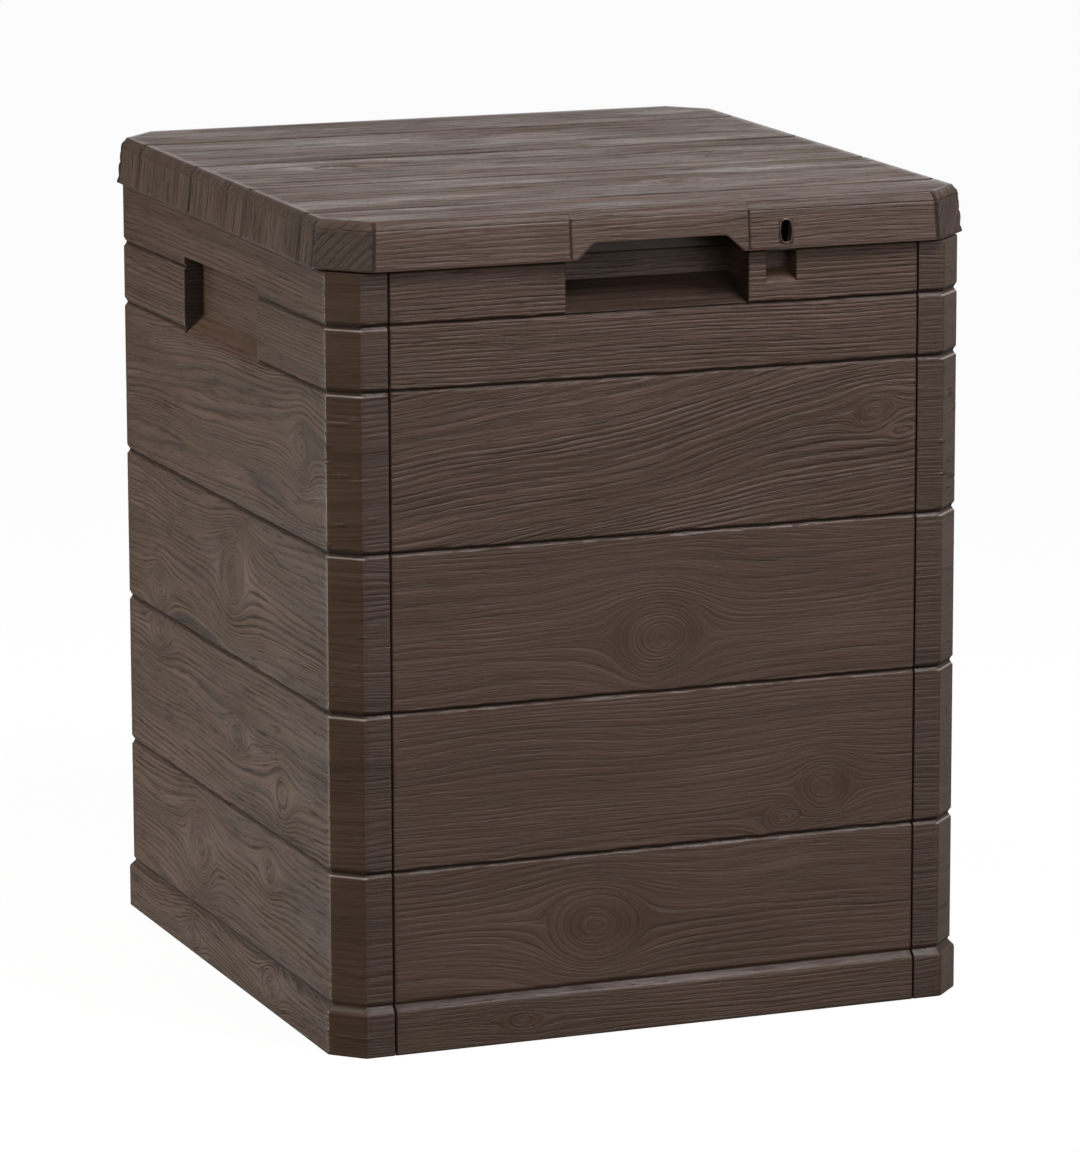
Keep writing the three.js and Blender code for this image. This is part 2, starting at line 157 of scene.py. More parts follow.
def figure(u, v, b):
    """The grain's own coordinates at u along and v across a board: along the fibre, across it, and the ring count.

    Grain passes a knot as a stream passes a pillar, and inside the knot the rings close.
    """
    s = b.seed
    along = u + 9 * noise(u / 85, v / 55, s)
    across = v + b.slope * u + b.wave * noise(u / 120, v / 50, s + 1)
    across = across + 0.2 * b.wave * noise(u / 48, v / 16, s + 2)
    stream = across.copy()
    reach = along.copy()
    for ku, kv, radius, stretch in b.knots:
        x = (along - ku) / stretch
        y = across - kv - b.slope * ku
        d2 = x * x + y * y + 1e-6
        pull = radius**2 / np.maximum(d2, radius**2)
        stream = stream - y * pull
        reach = reach + stretch * x * pull
        stream = stream + 1.25 * radius * np.clip(1 - np.sqrt(d2) / radius, 0, 1)
    rings = stream / b.spacing + b.bunch * noise(stream / (4.5 * b.spacing), reach / 500, s + 3)
    rings = rings + 0.2 * noise(stream / (1.8 * b.spacing), reach / 110, s + 4)
    rings = rings + 0.09 * noise(stream / 2.5, reach / 14, s + 9)
    return reach, stream, rings


def ring_profile(rings):
    """Height over one growth ring: a slow rise to a flat, then a quick fall."""
    f = rings - np.floor(rings)
    return np.interp(f, [0, 0.15, 0.5, 0.78, 1.0], [0, 0.35, 0.85, 1, 0])


def relief(reach, stream, rings, b):
    """Height of the embossing, in millimetres. The rings stand out more in some places than in others."""
    s = b.seed
    show = 0.1 + 0.9 * ease(noise(reach / 170, stream / 14, s + 5), -0.35, 0.4)
    show = show * (1 + 0.5 * noise(reach / 45, stream / 5, s + 10))
    fibre = 0.6 * noise(reach / 36, stream / 2.1, s + 6) + 0.4 * noise(reach / 14, stream / 1.2, s + 7)
    swell = noise(reach / 70, stream / 26, s + 8)
    return b.strength * (0.42 * b.sharp * (ring_profile(rings) - 0.6) * show + 0.16 * fibre) + 0.1 * swell


def emboss(u, v, b, narrow=1.0):
    """Height of a board's embossing at u, v, and the grain's coordinates there, which no other board shares."""
    reach, stream, rings = figure(u, v, b)
    grain = np.stack([reach + BOARD_SHIFT * (b.seed % 29), stream / narrow, rings], -1)
    return relief(reach, stream, rings, b), grain


# ---------------------------------------------------------------- one piece's mesh
PLAIN = (0.0, 0.0, 0.0, 0.5)  # the look of a plain place: grain strength, darkness (dark joints and painted shade), scuffs with painted shade, paleness from 0.5 up (relief, painted light and glints)
SLOT_EDGE = (0.0, 0.0, 0.7, 0.5)
SHARP_DEGREES = 42
# Painted light, added to the paleness: glints on the corner lips and ticks, a lit handle floor, and sheen on the lid's
# front skirt.
LIP_PAINTED_GLINT, TICK_PAINTED_GLINT, HANDLE_PAINTED_LIGHT, SKIRT_PAINTED_SHEEN = 2.6, 1.6, 0.45, 0.3
# Painted shade: darkness of the line over the plinth, the pull's floor and the handle's end walls.
PLINTH_LINE_SHADE, PULL_FLOOR_SHADE, HANDLE_ENDS_SHADE = 0.6, 0.75, 0.7


class Sheet:
    """Gathers the points and faces of one piece, with the grain and look at each point."""

    def __init__(self):
        self.points, self.grain, self.look = [], [], []
        self.quads, self.quad_slots, self.triangles = [], [], []
        self.count = 0

    def add_points(self, points, grain=None, look=None):
        points = np.asarray(points, float).reshape(-1, 3)
        n = len(points)
        self.points.append(points)
        self.grain.append(np.zeros((n, 3)) if grain is None else grain.reshape(-1, 3))
        self.look.append(np.tile(PLAIN, (n, 1)) if look is None else look.reshape(-1, 4))
        self.count += n
        return np.arange(self.count - n, self.count)

    def add_quads(self, quads, slot, flip):
        quads = quads.reshape(-1, 4)
        self.quads.append(quads[:, ::-1] if flip else quads)
        self.quad_slots.append(np.full(len(quads), slot))

    def grid(self, points, grain=None, look=None, slot=GRAINED, flip=False, closed=False, hole=None):
        """Rows by columns of points. hole is (row, row, column, column), left without faces; its border comes back."""
        ids = self.add_points(points, grain, look).reshape(points.shape[:2])
        if closed:
            ids = np.hstack([ids, ids[:, :1]])
        quads = np.stack([ids[:-1, :-1], ids[:-1, 1:], ids[1:, 1:], ids[1:, :-1]], -1)
        keep = np.ones(quads.shape[:2], bool)
        border = None
        if hole:
            j0, j1, i0, i1 = hole
            keep[j0:j1, i0:i1] = False
            border = np.concatenate([ids[j0, i0:i1], ids[j0:j1, i1], ids[j1, i1:i0:-1], ids[j1:j0:-1, i0]])
        self.add_quads(quads[keep], slot, flip)
        return border

    def ring(self, border, points, slot, flip, look=None):
        """Closes from a loop of points to a new loop of as many points."""
        ids = self.add_points(points, look=look)
        self.add_quads(np.stack([border, ids, np.roll(ids, -1), np.roll(border, -1)], -1), slot, flip)
        return ids

    def add_bmesh(self, bm):
        bmesh.ops.triangulate(bm, faces=bm.faces)
        bm.verts.index_update()
        ids = self.add_points([v.co for v in bm.verts])
        self.triangles += [[ids[v.index] for v in f.verts] for f in bm.faces]
        bm.free()

    def build(self, name, materials, body, *nodes, matrix=None):
        points = np.concatenate(self.points)
        if matrix is not None:
            turn = np.array(matrix)
            points = points @ turn[:3, :3].T + turn[:3, 3]
        quads = np.concatenate(self.quads)
        triangles = np.array(self.triangles, int).reshape(-1, 3)
        slots = np.concatenate(self.quad_slots + [np.full(len(triangles), SMOOTH)])
        starts = np.concatenate([np.arange(len(quads)) * 4, len(quads) * 4 + np.arange(len(triangles)) * 3])
        mesh = bpy.data.meshes.new(name)
        mesh.vertices.add(len(points))
        mesh.vertices.foreach_set("co", (points * MM).ravel())
        mesh.loops.add(quads.size + triangles.size)
        mesh.loops.foreach_set("vertex_index", np.concatenate([quads.ravel(), triangles.ravel()]))
        mesh.polygons.add(len(starts))
        smooth = np.ones(len(starts), bool)
        for key, values in (("loop_start", starts), ("material_index", slots), ("use_smooth", smooth)):
            mesh.polygons.foreach_set(key, values)
        mesh.update(calc_edges=True)
        for key, kind, field, values in (("grain", "FLOAT_VECTOR", "vector", self.grain),
                                         ("look", "FLOAT_COLOR", "color", self.look)):
            mesh.attributes.new(key, kind, "POINT").data.foreach_set(field, np.concatenate(values).ravel())
        mesh.set_sharp_from_angle(angle=math.radians(SHARP_DEGREES))
        for material in materials:
            mesh.materials.append(material)
        piece = bpy.data.objects.new(name, mesh)
        bpy.context.scene.collection.objects.link(piece)
        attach(piece, body)
        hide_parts(*nodes)
        return piece


def stations(low, high, step, special=()):
    """Sorted values from low to high: every special one, and others no further than a step apart."""
    fixed = np.unique(np.round([low, high] + [s for s in special if low < s < high], 4))
    filled = [fixed[:1]]
    for a, b in zip(fixed[:-1], fixed[1:]):
        parts = max(1, math.ceil((b - a) / step - 1e-6))
        filled.append(a + (b - a) * np.arange(1, parts + 1) / parts)
    return np.concatenate(filled)


def around(values, offsets):
    return [v + o for v in values for o in offsets]


def block(sheet, x0, x1, y0, y1, z0, z1, edge=0.5, taper=0.0):
    """A moulded bar with rounded edges. Its lower end is narrower by the taper, as a rib's foot is."""
    bm = bmesh.new()
    bmesh.ops.create_cube(bm, size=1)
    for v in bm.verts:
        shrink = taper if v.co.z < 0 else 0
        x = (x1 if v.co.x > 0 else x0) - math.copysign(shrink, v.co.x)
        y = (y1 if v.co.y > 0 else y0) - math.copysign(shrink, v.co.y)
        v.co = (x, y, z1 if v.co.z > 0 else z0)
    bmesh.ops.bevel(bm, geom=bm.edges[:], offset=edge, segments=2, affect="EDGES", profile=0.5)
    sheet.add_bmesh(bm)


# ---------------------------------------------------------------- outline of the walls, seen from above
def half_outline(front, side, back, half_x, half_y, corner, radius=3.0):
    """Right half of the outline, from the front round to the back: points and outward normals.

    front and back are distances along X, and side is along Y. Their outermost values move to the corners.
    """
    t = radius * math.tan(math.pi / 8)
    d = t * math.sqrt(0.5)
    end_x = half_x - corner - t
    end_y = half_y - corner - t

    def fit(values, end):
        nominal = max(abs(values[0]), abs(values[-1]))
        return np.interp(values, [-nominal, -STEADY, STEADY, nominal], [-end, -STEADY, STEADY, end])

    def arc(cx, cy, a0, a1, count=5):
        a = np.radians(np.linspace(a0, a1, count))
        return np.stack([cx + radius * np.cos(a), cy + radius * np.sin(a)], -1), np.stack([np.cos(a), np.sin(a)], -1)

    def line(x, y, angle):
        x, y = np.broadcast_arrays(np.asarray(x, float), np.asarray(y, float))
        n = np.array([math.cos(math.radians(angle)), math.sin(math.radians(angle))])
        return np.stack([x, y], -1), np.tile(n, (len(x), 1))

    facet = np.linspace(0, 1, 8)[1:-1]
    ax, ay = half_x - corner + d, -half_y + d
    bx, by = half_x - d, -half_y + corner - d
    parts = [
        line(fit(front, end_x)[:-1], -half_y, -90),
        arc(end_x, -half_y + radius, -90, -45),
        line(ax + (bx - ax) * facet, ay + (by - ay) * facet, -45),
        arc(half_x - radius, -end_y, -45, 0),
        line(half_x, fit(side, end_y)[1:-1], 0),
        arc(half_x - radius, end_y, 0, 45),
        line(bx + (ax - bx) * facet, -by + (by - ay) * facet, 45),
        arc(end_x, half_y - radius, 45, 90),
        line(fit(back, end_x)[::-1][1:], half_y, 90),
    ]
    kinds = np.concatenate([np.full(len(p[0]), k) for k, p in enumerate(parts)])
    xy = np.concatenate([p[0] for p in parts])
    return Values(xy=xy, normal=np.concatenate([p[1] for p in parts]), kind=kinds)


# ---------------------------------------------------------------- walls
GROOVE_STEPS = (-4, -3.2, -2.7, -2.2, -1.7, -1.2, -0.8, -0.4, 0, 0.4, 0.8, 1.2, 1.7, 2.2, 2.7, 3.2, 4)
EDGE_STEPS = (-1.6, -1.2, -0.9, -0.6, -0.3, -0.1, 0, 0.05, 0.6, 1.5, 3)
LIP_STEPS = (-2, -1, -0.5, 0, 0.05, 0.5, 1, 2)
LIP_BELOW = 2.2


def dent(u, z, d, round_edge=1.2):
    """How deep a recess is sunk at u, z: upright walls, and a floor that slopes out to the lip."""
    def upright(inside):
        curve = round_edge - np.sqrt(np.maximum(round_edge**2 - np.clip(inside + round_edge, 0, round_edge) ** 2, 0))
        return np.where(inside < 0, curve, round_edge + 2000 * inside)

    rise = z - d.lip
    if d.floor - d.lip > 1:
        slope = d.deep / (d.floor - d.lip)
        floor = slope * (rise + np.sqrt(rise**2 + 0.6)) / 2
        floor = np.where(rise < -3, 0, floor)
    else:
        floor = upright(rise)
    depth = np.minimum(floor, d.deep)
    depth = np.minimum(depth, upright(d.half - np.abs(u - d.u)))
    return np.minimum(depth, upright(d.top - z))


def dent_stations(dents):
    """Columns and rows of mesh that the edges of the recesses need."""
    columns, rows = [], []
    for d in dents:
        columns += around([d.u - d.half], EDGE_STEPS) + around([d.u + d.half], [-e for e in EDGE_STEPS])
        rows += around([d.top], [-e for e in EDGE_STEPS]) + around([d.lip], LIP_STEPS)
        rows += [d.floor - 0.4, d.floor, d.floor + 0.4]
    return columns, rows


def grown(d):
    """The same recess seen from inside the box, one wall thickness bigger."""
    return Values(u=d.u, half=d.half + WALL, deep=d.deep, lip=d.lip - 4, floor=d.floor - 4, top=d.top + WALL)


PLINTH_STEPS = [27, 28.3, 31.4, 32.6, 34.4]


def plinth(z):
    return np.interp(z, [0] + PLINTH_STEPS, [3, 3, 2.7, -0.5, -1.3, 0])


def groove_depth(u, z, corner, seed):
    """Depth of the joints between the boards: ragged on the faces, wide and clean round the corners."""
    depth = np.zeros(np.broadcast(u, z).shape)
    ragged = 1 - corner
    for k, joint in enumerate(JOINTS):
        wander = ragged * (0.3 * noise(u / 31, k, seed) + 0.2 * noise(u / 6, k + 0.5, seed))
        half = 1.7 + 1.2 * corner + ragged * (0.35 * noise(u / 13, k + 0.25, seed) + 0.25 * noise(u / 4, k + 0.7, seed))
        near = 1 - np.abs(z - joint - wander) / half
        depth = np.maximum(depth, GROOVE_DEEP * np.clip(near, 0, 1) ** 0.85)
    return depth


def press(u, z, boards):
    """Embossing of the boards of one wall: grain coordinates, height and contrast on a grid of points."""
    grain = np.zeros(z.shape + (3,))
    height = np.zeros(z.shape)
    contrast = np.ones(z.shape)
    bounds = [-50, PLINTH_TOP] + JOINTS + [700]
    middle = z[:, z.shape[1] // 2]
    for low, high, b in zip(bounds, bounds[1:], boards):
        rows = (middle >= low) & (middle < high)
        if rows.any():
            height[rows], grain[rows] = emboss(u[rows], z[rows], b)
            contrast[rows] = b.contrast
    return grain, height * ease(nearest(z, [PLINTH_TOP] + JOINTS), 0.8, 3.4), contrast


def spread(path, rows):
    """Height, and distance along the wall, at each point of its grid."""
    z = rows.z + rows.lean * SLOPE * path.xy[:, 1]
    return z, np.broadcast_to(path.u, z.shape)


def placed(path, rows, z, out):
    """The grid's points, each that far out along the wall's normal."""
    mix = rows.rim[..., None]
    xy = path.xy * (1 - mix) + path.rim * mix + path.normal * out[..., None]
    return np.concatenate([xy, z[..., None]], -1)


def wall_skin(sheet, path, rows, boards, dents, seed, flip):
    """Outer face of a wall panel, wrapped round its edges."""
    z, u = spread(path, rows)
    grain, height, contrast = press(u, z, boards)
    sunk = np.zeros(z.shape)
    full = np.zeros(z.shape)
    for d in dents:
        here = dent(u, z, d)
        full = np.where(here > sunk, d.deep, full)
        sunk = np.maximum(sunk, here)
    inside = ease(sunk, 0.3, 2)
    # A few lines of grain stray on to the corners, mostly on one board.
    share = np.where((z > JOINTS[2]) & (z < JOINTS[3]), 1.0, 0.4)
    stray = path.corner * ease(noise(u / 11, z / 3.5, seed + 3), 0.6, 0.9) * share
    groove = groove_depth(u, z, path.corner, seed) * (1 - inside) * rows.soft
    weight = (path.soft + 0.8 * stray) * rows.soft * (1 - 0.35 * inside)
    out = path.inset + rows.off + plinth(z) * rows.soft.clip(0, 1) + rows.foot * PLINTH_PROUD
    out = out - groove + height * weight - sunk
    # Round the corners each joint's lower lip gets a painted glint, a painted highlight, and no darkening or scuffs.
    lip = path.corner * np.clip(1 - nearest(z + LIP_BELOW, JOINTS) / 0.8, 0, 1)
    # The joints, the line over the plinth, the pull's floor and the handle's ends lie in shade.
    dark = groove / GROOVE_DEEP * (1 - ease(lip, 0, 0.3))
    line = np.clip(1.2 - np.abs(z - PLINTH_TOP + 1.4) / 2.2, 0, 1)
    in_pull = (full == PULL.deep) & (sunk > 0.6) & (sunk < PULL.deep - 0.1)
    in_handle = full == HANDLE.deep
    ends = in_handle & (np.abs(HANDLE.half - np.abs(u - HANDLE.u)) < 0.3) & (sunk > 0.3)
    for amount, where in ((PLINTH_LINE_SHADE, line), (PULL_FLOOR_SHADE, in_pull), (HANDLE_ENDS_SHADE, ends)):
        dark = np.maximum(dark, amount * where)
    # Painted light: the handle recess's sloping floor is painted paler.
    painted_light = HANDLE_PAINTED_LIGHT * (in_handle & (sunk > 0.6) & (sunk < HANDLE.deep - 0.4))
    # Painted glints: short pale ticks on the corners where the grain strays.
    tick = ease(stray, 0.3, 0.7) * ease(noise(u / 8, z / 1.1, seed + 6), 0.4, 0.65)
    relief_and_painted_light = 0.5 + height + painted_light + LIP_PAINTED_GLINT * lip + TICK_PAINTED_GLINT * tick
    look = np.stack([weight * contrast, dark, path.scuff * (1 - inside) * (1 - lip), relief_and_painted_light], -1)
    sheet.grid(placed(path, rows, z, out), grain, look, flip=flip)


def wall_inside(sheet, path, rows, dents, flip):
    """Inner face of a wall panel: smooth, with a low bead behind each joint and the backs of the recesses."""
    z, u = spread(path, rows)
    sunk = np.max([np.zeros(z.shape)] + [dent(u, z, grown(d)) for d in dents], axis=0)
    bead = 1.3 * np.clip(1.3 - nearest(z, JOINTS) / 2.6, 0, 1)
    out = path.inset + rows.off - WALL - sunk - bead * (1 - ease(sunk, 0.3, 2))
    sheet.grid(placed(path, rows, z, out), slot=SMOOTH, flip=not flip)


def face_rows(z, shelf, leaning, soft):
    """Rows of a wall's face, which turn from level to the lid's slope near the top."""
    lean = leaning * np.clip((z - LEAN_FROM) / (shelf - LEAN_FROM), 0, 1)
    return [(h, 0, a, 0, soft, 0) for h, a in zip(z, lean)]


def outer_rows(shelf, top, special, leaning):
    """Rows of a wall from its foot to its rim: height, offset, lean, share of the rim's outline, embossing, foot."""
    rows = [(0, -WALL, 0, 0, 0, 1), (0, -0.8, 0, 0, 0, 1), (0.2, -0.25, 0, 0, 0, 1)]
    z = stations(0.8, shelf - 1.4, STEP_ACROSS, around(JOINTS, GROOVE_STEPS) + PLINTH_STEPS + special)
    rows += face_rows(z, shelf, leaning, 1)
    high = [(shelf - 0.7, -0.03, 0, 0.5), (shelf - 0.2, -0.2, 0, 0), (shelf, -RIM_IN, 0, 0), (shelf, -RIM_IN, 1, 0)]
    high += [(h, -RIM_IN, 1, 0) for h in stations(shelf + 0.4, top - 1, 6, special)]
    high += [(top - 0.3, -RIM_IN - 0.25, 1, 0), (top, -RIM_IN - 0.9, 1, 0)]
    high += [(top, -RIM_IN - 2.1, 1, 0), (top - 0.3, -RIM_IN - 2.75, 1, 0)]
    return as_rows(rows + [(h, off, leaning, rim, soft, 0) for h, off, rim, soft in high])


def inner_rows(shelf, top, special, leaning):
    z = stations(0, shelf - WALL, INNER_STEP, around(JOINTS, (-4, -3, -1.5, 0, 1.5, 3, 4)) + special)
    high = [shelf - WALL + 0.3] + list(stations(shelf, top - 0.9, 8, special))
    return as_rows(face_rows(z, shelf, leaning, 0) + [(h, -RIM_IN, leaning, 1, 0, 0) for h in high])


def as_rows(rows):
    z, off, lean, rim, soft, foot = np.array(rows, float).T[..., None]
    return Values(z=z, off=off, lean=lean, rim=rim, soft=soft, foot=foot)


def side_path(along, inner=False):
    """Outline of the right side panel, from its front edge round to its back edge."""
    edge = [RETURN_EDGE, RETURN_EDGE + 0.25, RETURN_EDGE + 0.7]
    returns = np.array(edge + list(np.linspace(RETURN_EDGE + 2, HALF_X - CORNER, 7)))
    side = np.array([-SIDE_END] + list(along) + [SIDE_END])
    body, rim = (half_outline(returns, side, returns, HALF_X, HALF_Y, c, 1.3) for c in (CORNER, RIM_CORNER))
    u = np.concatenate([[0], np.cumsum(np.hypot(*np.diff(body.xy, axis=0).T))])
    face = body.kind == 4
    facet = np.isin(body.kind, (1, 2, 3, 5, 6, 7))

    def share(on_face, on_facet, on_return):
        return np.where(face, on_face, np.where(facet, on_facet, on_return))

    soft = share(np.maximum(ease(SIDE_END - np.abs(body.xy[:, 1]), 0, 6), 0.16), 0.16, 0.3)
    # The returns and cut corners get scuffs and are painted darker, as painted shade.
    path = Values(xy=body.xy, rim=rim.xy, normal=body.normal, u=u - u[-1] / 2, soft=soft, inset=np.zeros(len(u)),
                  scuff=share(0.0, 0.35, 1.0), corner=share(0.0, 1.0, 0.35))
    return path if inner else wrapped(path)


def flat_path(x, end, inner=False):
    """Outline of the front (end -1) or back (end 1) panel."""
    n = len(x)
    xy = np.stack([x, np.full(n, end * HALF_Y)], -1)
    # Darker, with scuff marks, within a millimetre of the panel's upright edges.
    scuff = np.clip(1.2 - (PANEL_EDGE - np.abs(x)) / 0.8, 0, 1)
    path = Values(xy=xy, rim=xy, normal=np.tile([0.0, float(end)], (n, 1)), u=np.array(x), soft=np.ones(n),
                  inset=np.zeros(n), scuff=scuff, corner=np.zeros(n))
    if not inner:
        path.soft[[0, 1, -2, -1]] = 0
        wrapped(path)
    return path


def wrapped(path):
    """Turns the panel's two upright edges in through the wall, with the first and last columns repeated further in."""
    path.inset[[0, -1]] = -0.4
    path.inset[[1, -2]] = -0.07
    for inset in (-1.6, -WALL - 0.2):
        for name, values in vars(path).items():
            setattr(path, name, np.concatenate([values[:1], values, values[-1:]]))
        path.inset[[0, -1]] = inset
        path.soft[[0, -1]] = 0
        path.scuff[[0, -1]] = 0
    return path


def mirrored(path):
    for name in ("xy", "rim", "normal"):
        setattr(path, name, getattr(path, name) * np.array([-1, 1]))


FLANGE_END = 190.0
FLANGE_Z = (4, 490)
FLANGE_FACE = HALF_Y - WALL - PLAY
FLANGE_ROOT = PANEL_EDGE - 6
CHANNEL_END = FLANGE_END + PLAY + WALL
LEDGE_TOP = 23.6


def span(a, b):
    return (a, b) if a < b else (b, a)


def channel(sheet, side, end):
    """The side panel's lip that holds the neighbour's flange."""
    back = FLANGE_FACE - WALL - PLAY
    web = span(side * (FLANGE_END + PLAY), side * CHANNEL_END)
    lip = span(side * (PANEL_EDGE + 3.6), side * CHANNEL_END)
    block(sheet, *web, *span(end * (back - WALL), end * (HALF_Y - WALL + 0.5)), *FLANGE_Z)
    block(sheet, *lip, *span(end * (back - WALL), end * back), *FLANGE_Z)


def flange(sheet, side, end):
    across = span(side * FLANGE_ROOT, side * FLANGE_END)
    root = span(side * FLANGE_ROOT, side * (PANEL_EDGE - 0.8))
    block(sheet, *across, *span(end * (FLANGE_FACE - WALL), end * FLANGE_FACE), *FLANGE_Z)
    block(sheet, *root, *span(end * (FLANGE_FACE - 1), end * (HALF_Y - 2.9)), *FLANGE_Z, edge=0.2)


def side_panel(side, boards, seed):
    sheet = Sheet()
    columns, levels = dent_stations([HANDLE])
    outer = side_path(stations(-199.5, 199.5, STEP_ALONG, columns))
    inner_columns, inner_levels = dent_stations([grown(HANDLE)])
    inner = side_path(stations(-199, 199, INNER_STEP, inner_columns), inner=True)
    if side < 0:
        mirrored(outer)
        mirrored(inner)
    # Grain coordinates run to the right as seen from outside.
    outer.u = side * outer.u
    wall_skin(sheet, outer, outer_rows(SHELF, RIM_TOP, levels, 1), boards, [HANDLE], seed, side < 0)
    wall_inside(sheet, inner, inner_rows(SHELF, RIM_TOP, inner_levels, 1), [HANDLE], side < 0)
    for end in (-1, 1):
        channel(sheet, side, end)
    block(sheet, *span(side * 205, side * 212), -195, 195, LEDGE_TOP - WALL, LEDGE_TOP)
    name = "right" if side > 0 else "left"
    piece = sheet.build(name + "_side_boards", [board_resin, plain_resin], "box", name + "_side_panel")


def end_panel(end, boards, dents, seed, top):
    """Front (end -1) or back (end 1) panel."""
    sheet = Sheet()
    shelf = SHELF + end * SLOPE * HALF_Y
    rim_top = top + end * SLOPE * HALF_Y
    columns, levels = dent_stations(dents)
    inner_columns, inner_levels = dent_stations([grown(d) for d in dents])
    edge = [-PANEL_EDGE + 0.25, -PANEL_EDGE + 0.7, PANEL_EDGE - 0.7, PANEL_EDGE - 0.25]
    outer = flat_path(stations(-PANEL_EDGE, PANEL_EDGE, STEP_ALONG, columns + edge), end)
    inner = flat_path(stations(-PANEL_EDGE, PANEL_EDGE, INNER_STEP, inner_columns), end, inner=True)
    for item in (outer, inner, *dents):
        item.u = -end * item.u
    wall_skin(sheet, outer, outer_rows(shelf, rim_top, levels, 0), boards, dents, seed, end > 0)
    wall_inside(sheet, inner, inner_rows(shelf, rim_top, inner_levels, 0), dents, end > 0)
    for side in (-1, 1):
        flange(sheet, side, end)
    block(sheet, -165, 165, *span(end * 211, end * 218), LEDGE_TOP - WALL, LEDGE_TOP)
    return sheet


# ---------------------------------------------------------------- slots with round ends
def stadium(border, centre, half_height, radius):
    """For each border point, the point of an upright slot's outline of that radius that faces it."""
    dx, dz = (border - centre).T
    az = half_height * dz / np.abs(dz).max()
    length = np.hypot(dx, dz - az)
    return np.stack([centre[0] + radius * dx / length, centre[1] + az + radius * (dz - az) / length], -1)


def slot_rings(sheet, border, points, centre, half_height, rings, place, slot, flip=False):
    """Fills from a rectangular border in to a slot. Each ring is (radius, how far it stands out)."""
    for radius, out in rings:
        xz = stadium(points, centre, half_height, radius)
        border = sheet.ring(border, place(xz, out), slot, flip, np.tile(SLOT_EDGE, (len(xz), 1)))


def lock_tab(sheet):
    """The tab in front of the padlock pocket, with the body's half of the padlock slot."""
    x0, x1 = LOCK.u - LOCK.half - 0.5, LOCK.u + LOCK.half + 0.5
    z0, z1 = 494.0, 516.0
    front, back = -HALF_Y + RIM_IN, -HALF_Y + RIM_IN + WALL
    xs = np.linspace(x0, x1, 9)
    zs = np.linspace(z0, z1, 9)
    loop = [(x, z0) for x in xs[:-1]] + [(x1, z) for z in zs[:-1]]
    loop = np.array(loop + [(x, z1) for x in xs[:0:-1]] + [(x0, z) for z in zs[:0:-1]])
    inset = loop + 0.3 * np.sign(np.array([(x0 + x1) / 2, (z0 + z1) / 2]) - loop)
    for y, sign in ((front, -1), (back, 1)):
        def place(xz, out, y=y, sign=sign):
            return np.stack([xz[:, 0], np.full(len(xz), y + sign * out), xz[:, 1]], -1)

        ids = sheet.ring(sheet.add_points(place(loop, -0.3)), place(inset, 0), SMOOTH, sign < 0)
        rings = [(5.4, 0), (5.1, 0), (4.85, -0.2), (4.8, -1.5)]
        slot_rings(sheet, ids, loop, (SLOT_X, SLOT_Z), 3.0, rings, place, SMOOTH, sign < 0)
    block(sheet, x0, x1, front + 0.3, back - 0.3, z0 - 0.05, z0 + 1.2, edge=0.3)


def front_panel(boards):
    sheet = end_panel(-1, boards, [PULL, LOCK], 5, RIM_TOP_FRONT)
    lock_tab(sheet)
    piece = sheet.build("front_boards", [board_resin, plain_resin], "box", "front_panel")


def back_panel(boards):
    deep = HALF_Y - POCKET_Y
    pockets = [Values(u=side * HINGE_X, half=POCKET_HALF, deep=deep, lip=POCKET_Z0, floor=POCKET_Z0, top=501.5)
               for side in (-1, 1)]
    sheet = end_panel(1, boards, pockets, 6, RIM_TOP)
    piece = sheet.build("back_boards", [board_resin, plain_resin], "box", "back_panel")


# ---------------------------------------------------------------- lid, in its own frame: z is 0 at the top surface
lid_frame = Matrix.Translation((0, -LID_SKIRT * math.sin(LID_TILT), LID_TOP)) @ Matrix.Rotation(LID_TILT, 4, "X")
FLARE = LID_FLARE / (LID_SKIRT - LID_BEVEL)
NOTCH_RISE = 10.7
NOTCH_TOP = -LID_SKIRT + NOTCH_RISE
NOTCH_LOW_X, NOTCH_HIGH_X = 56.2, 44.5
NOTCH_STEPS = [NOTCH_HIGH_X - 1.2, NOTCH_HIGH_X + 1, NOTCH_LOW_X]
PLANK_BOUNDS = [-300] + PLANK_JOINTS + [300]
MARKS = (-60, 60)
PLANK_STEPS = (-2.6, *GROOVE_STEPS[4:-4], 2.6)
PLANK_CONTRAST = 1.3
PRESSED = 0.45  # how far the embossing's middle lies under the moulding's outline
SHOULDER = 5.2  # from the top down to where the skirt's straight part begins
LID_SLOT = (SLOT_X, SLOT_Z - LID_TOP + SLOPE * LID_HALF_Y)
LID_SLOT_HALF = 3.2
CHAMFER = 2 - math.sqrt(2)  # how much shorter a cut corner is for each millimetre that the outline moves in


def lid_outline(inset, front, side, back, radius):
    corner = LID_CORNER - inset * CHAMFER
    half = half_outline(front, side, back, LID_HALF_X - inset, LID_HALF_Y - inset, corner, radius)

    def whole(values, mirror):
        return np.concatenate([values, (values * mirror)[::-1][1:-1]])

    return Values(xy=whole(half.xy, [-1, 1]), normal=whole(half.normal, [-1, 1]), kind=whole(half.kind, 1))


def cut_plane(hx, hy, corner, step_x, step_y, more_x=(), more_y=()):
    """A level grid with cut corners: x, y, and how far x reaches at each y. Its columns close in at the corners."""
    xs = stations(-hx, hx, step_x, [-hx + corner, hx - corner, *more_x])
    ys = stations(-hy, hy, step_y, [-hy + corner, hy - corner, *more_y])
    x, y = np.meshgrid(xs, ys)
    reach = hx - np.maximum(0, np.abs(y) - (hy - corner))
    keep = hx - corner
    drawn_in = np.sign(x) * (keep + (np.abs(x) - keep) * (reach - keep) / corner)
    return np.where(np.abs(x) > keep, drawn_in, x), y, reach


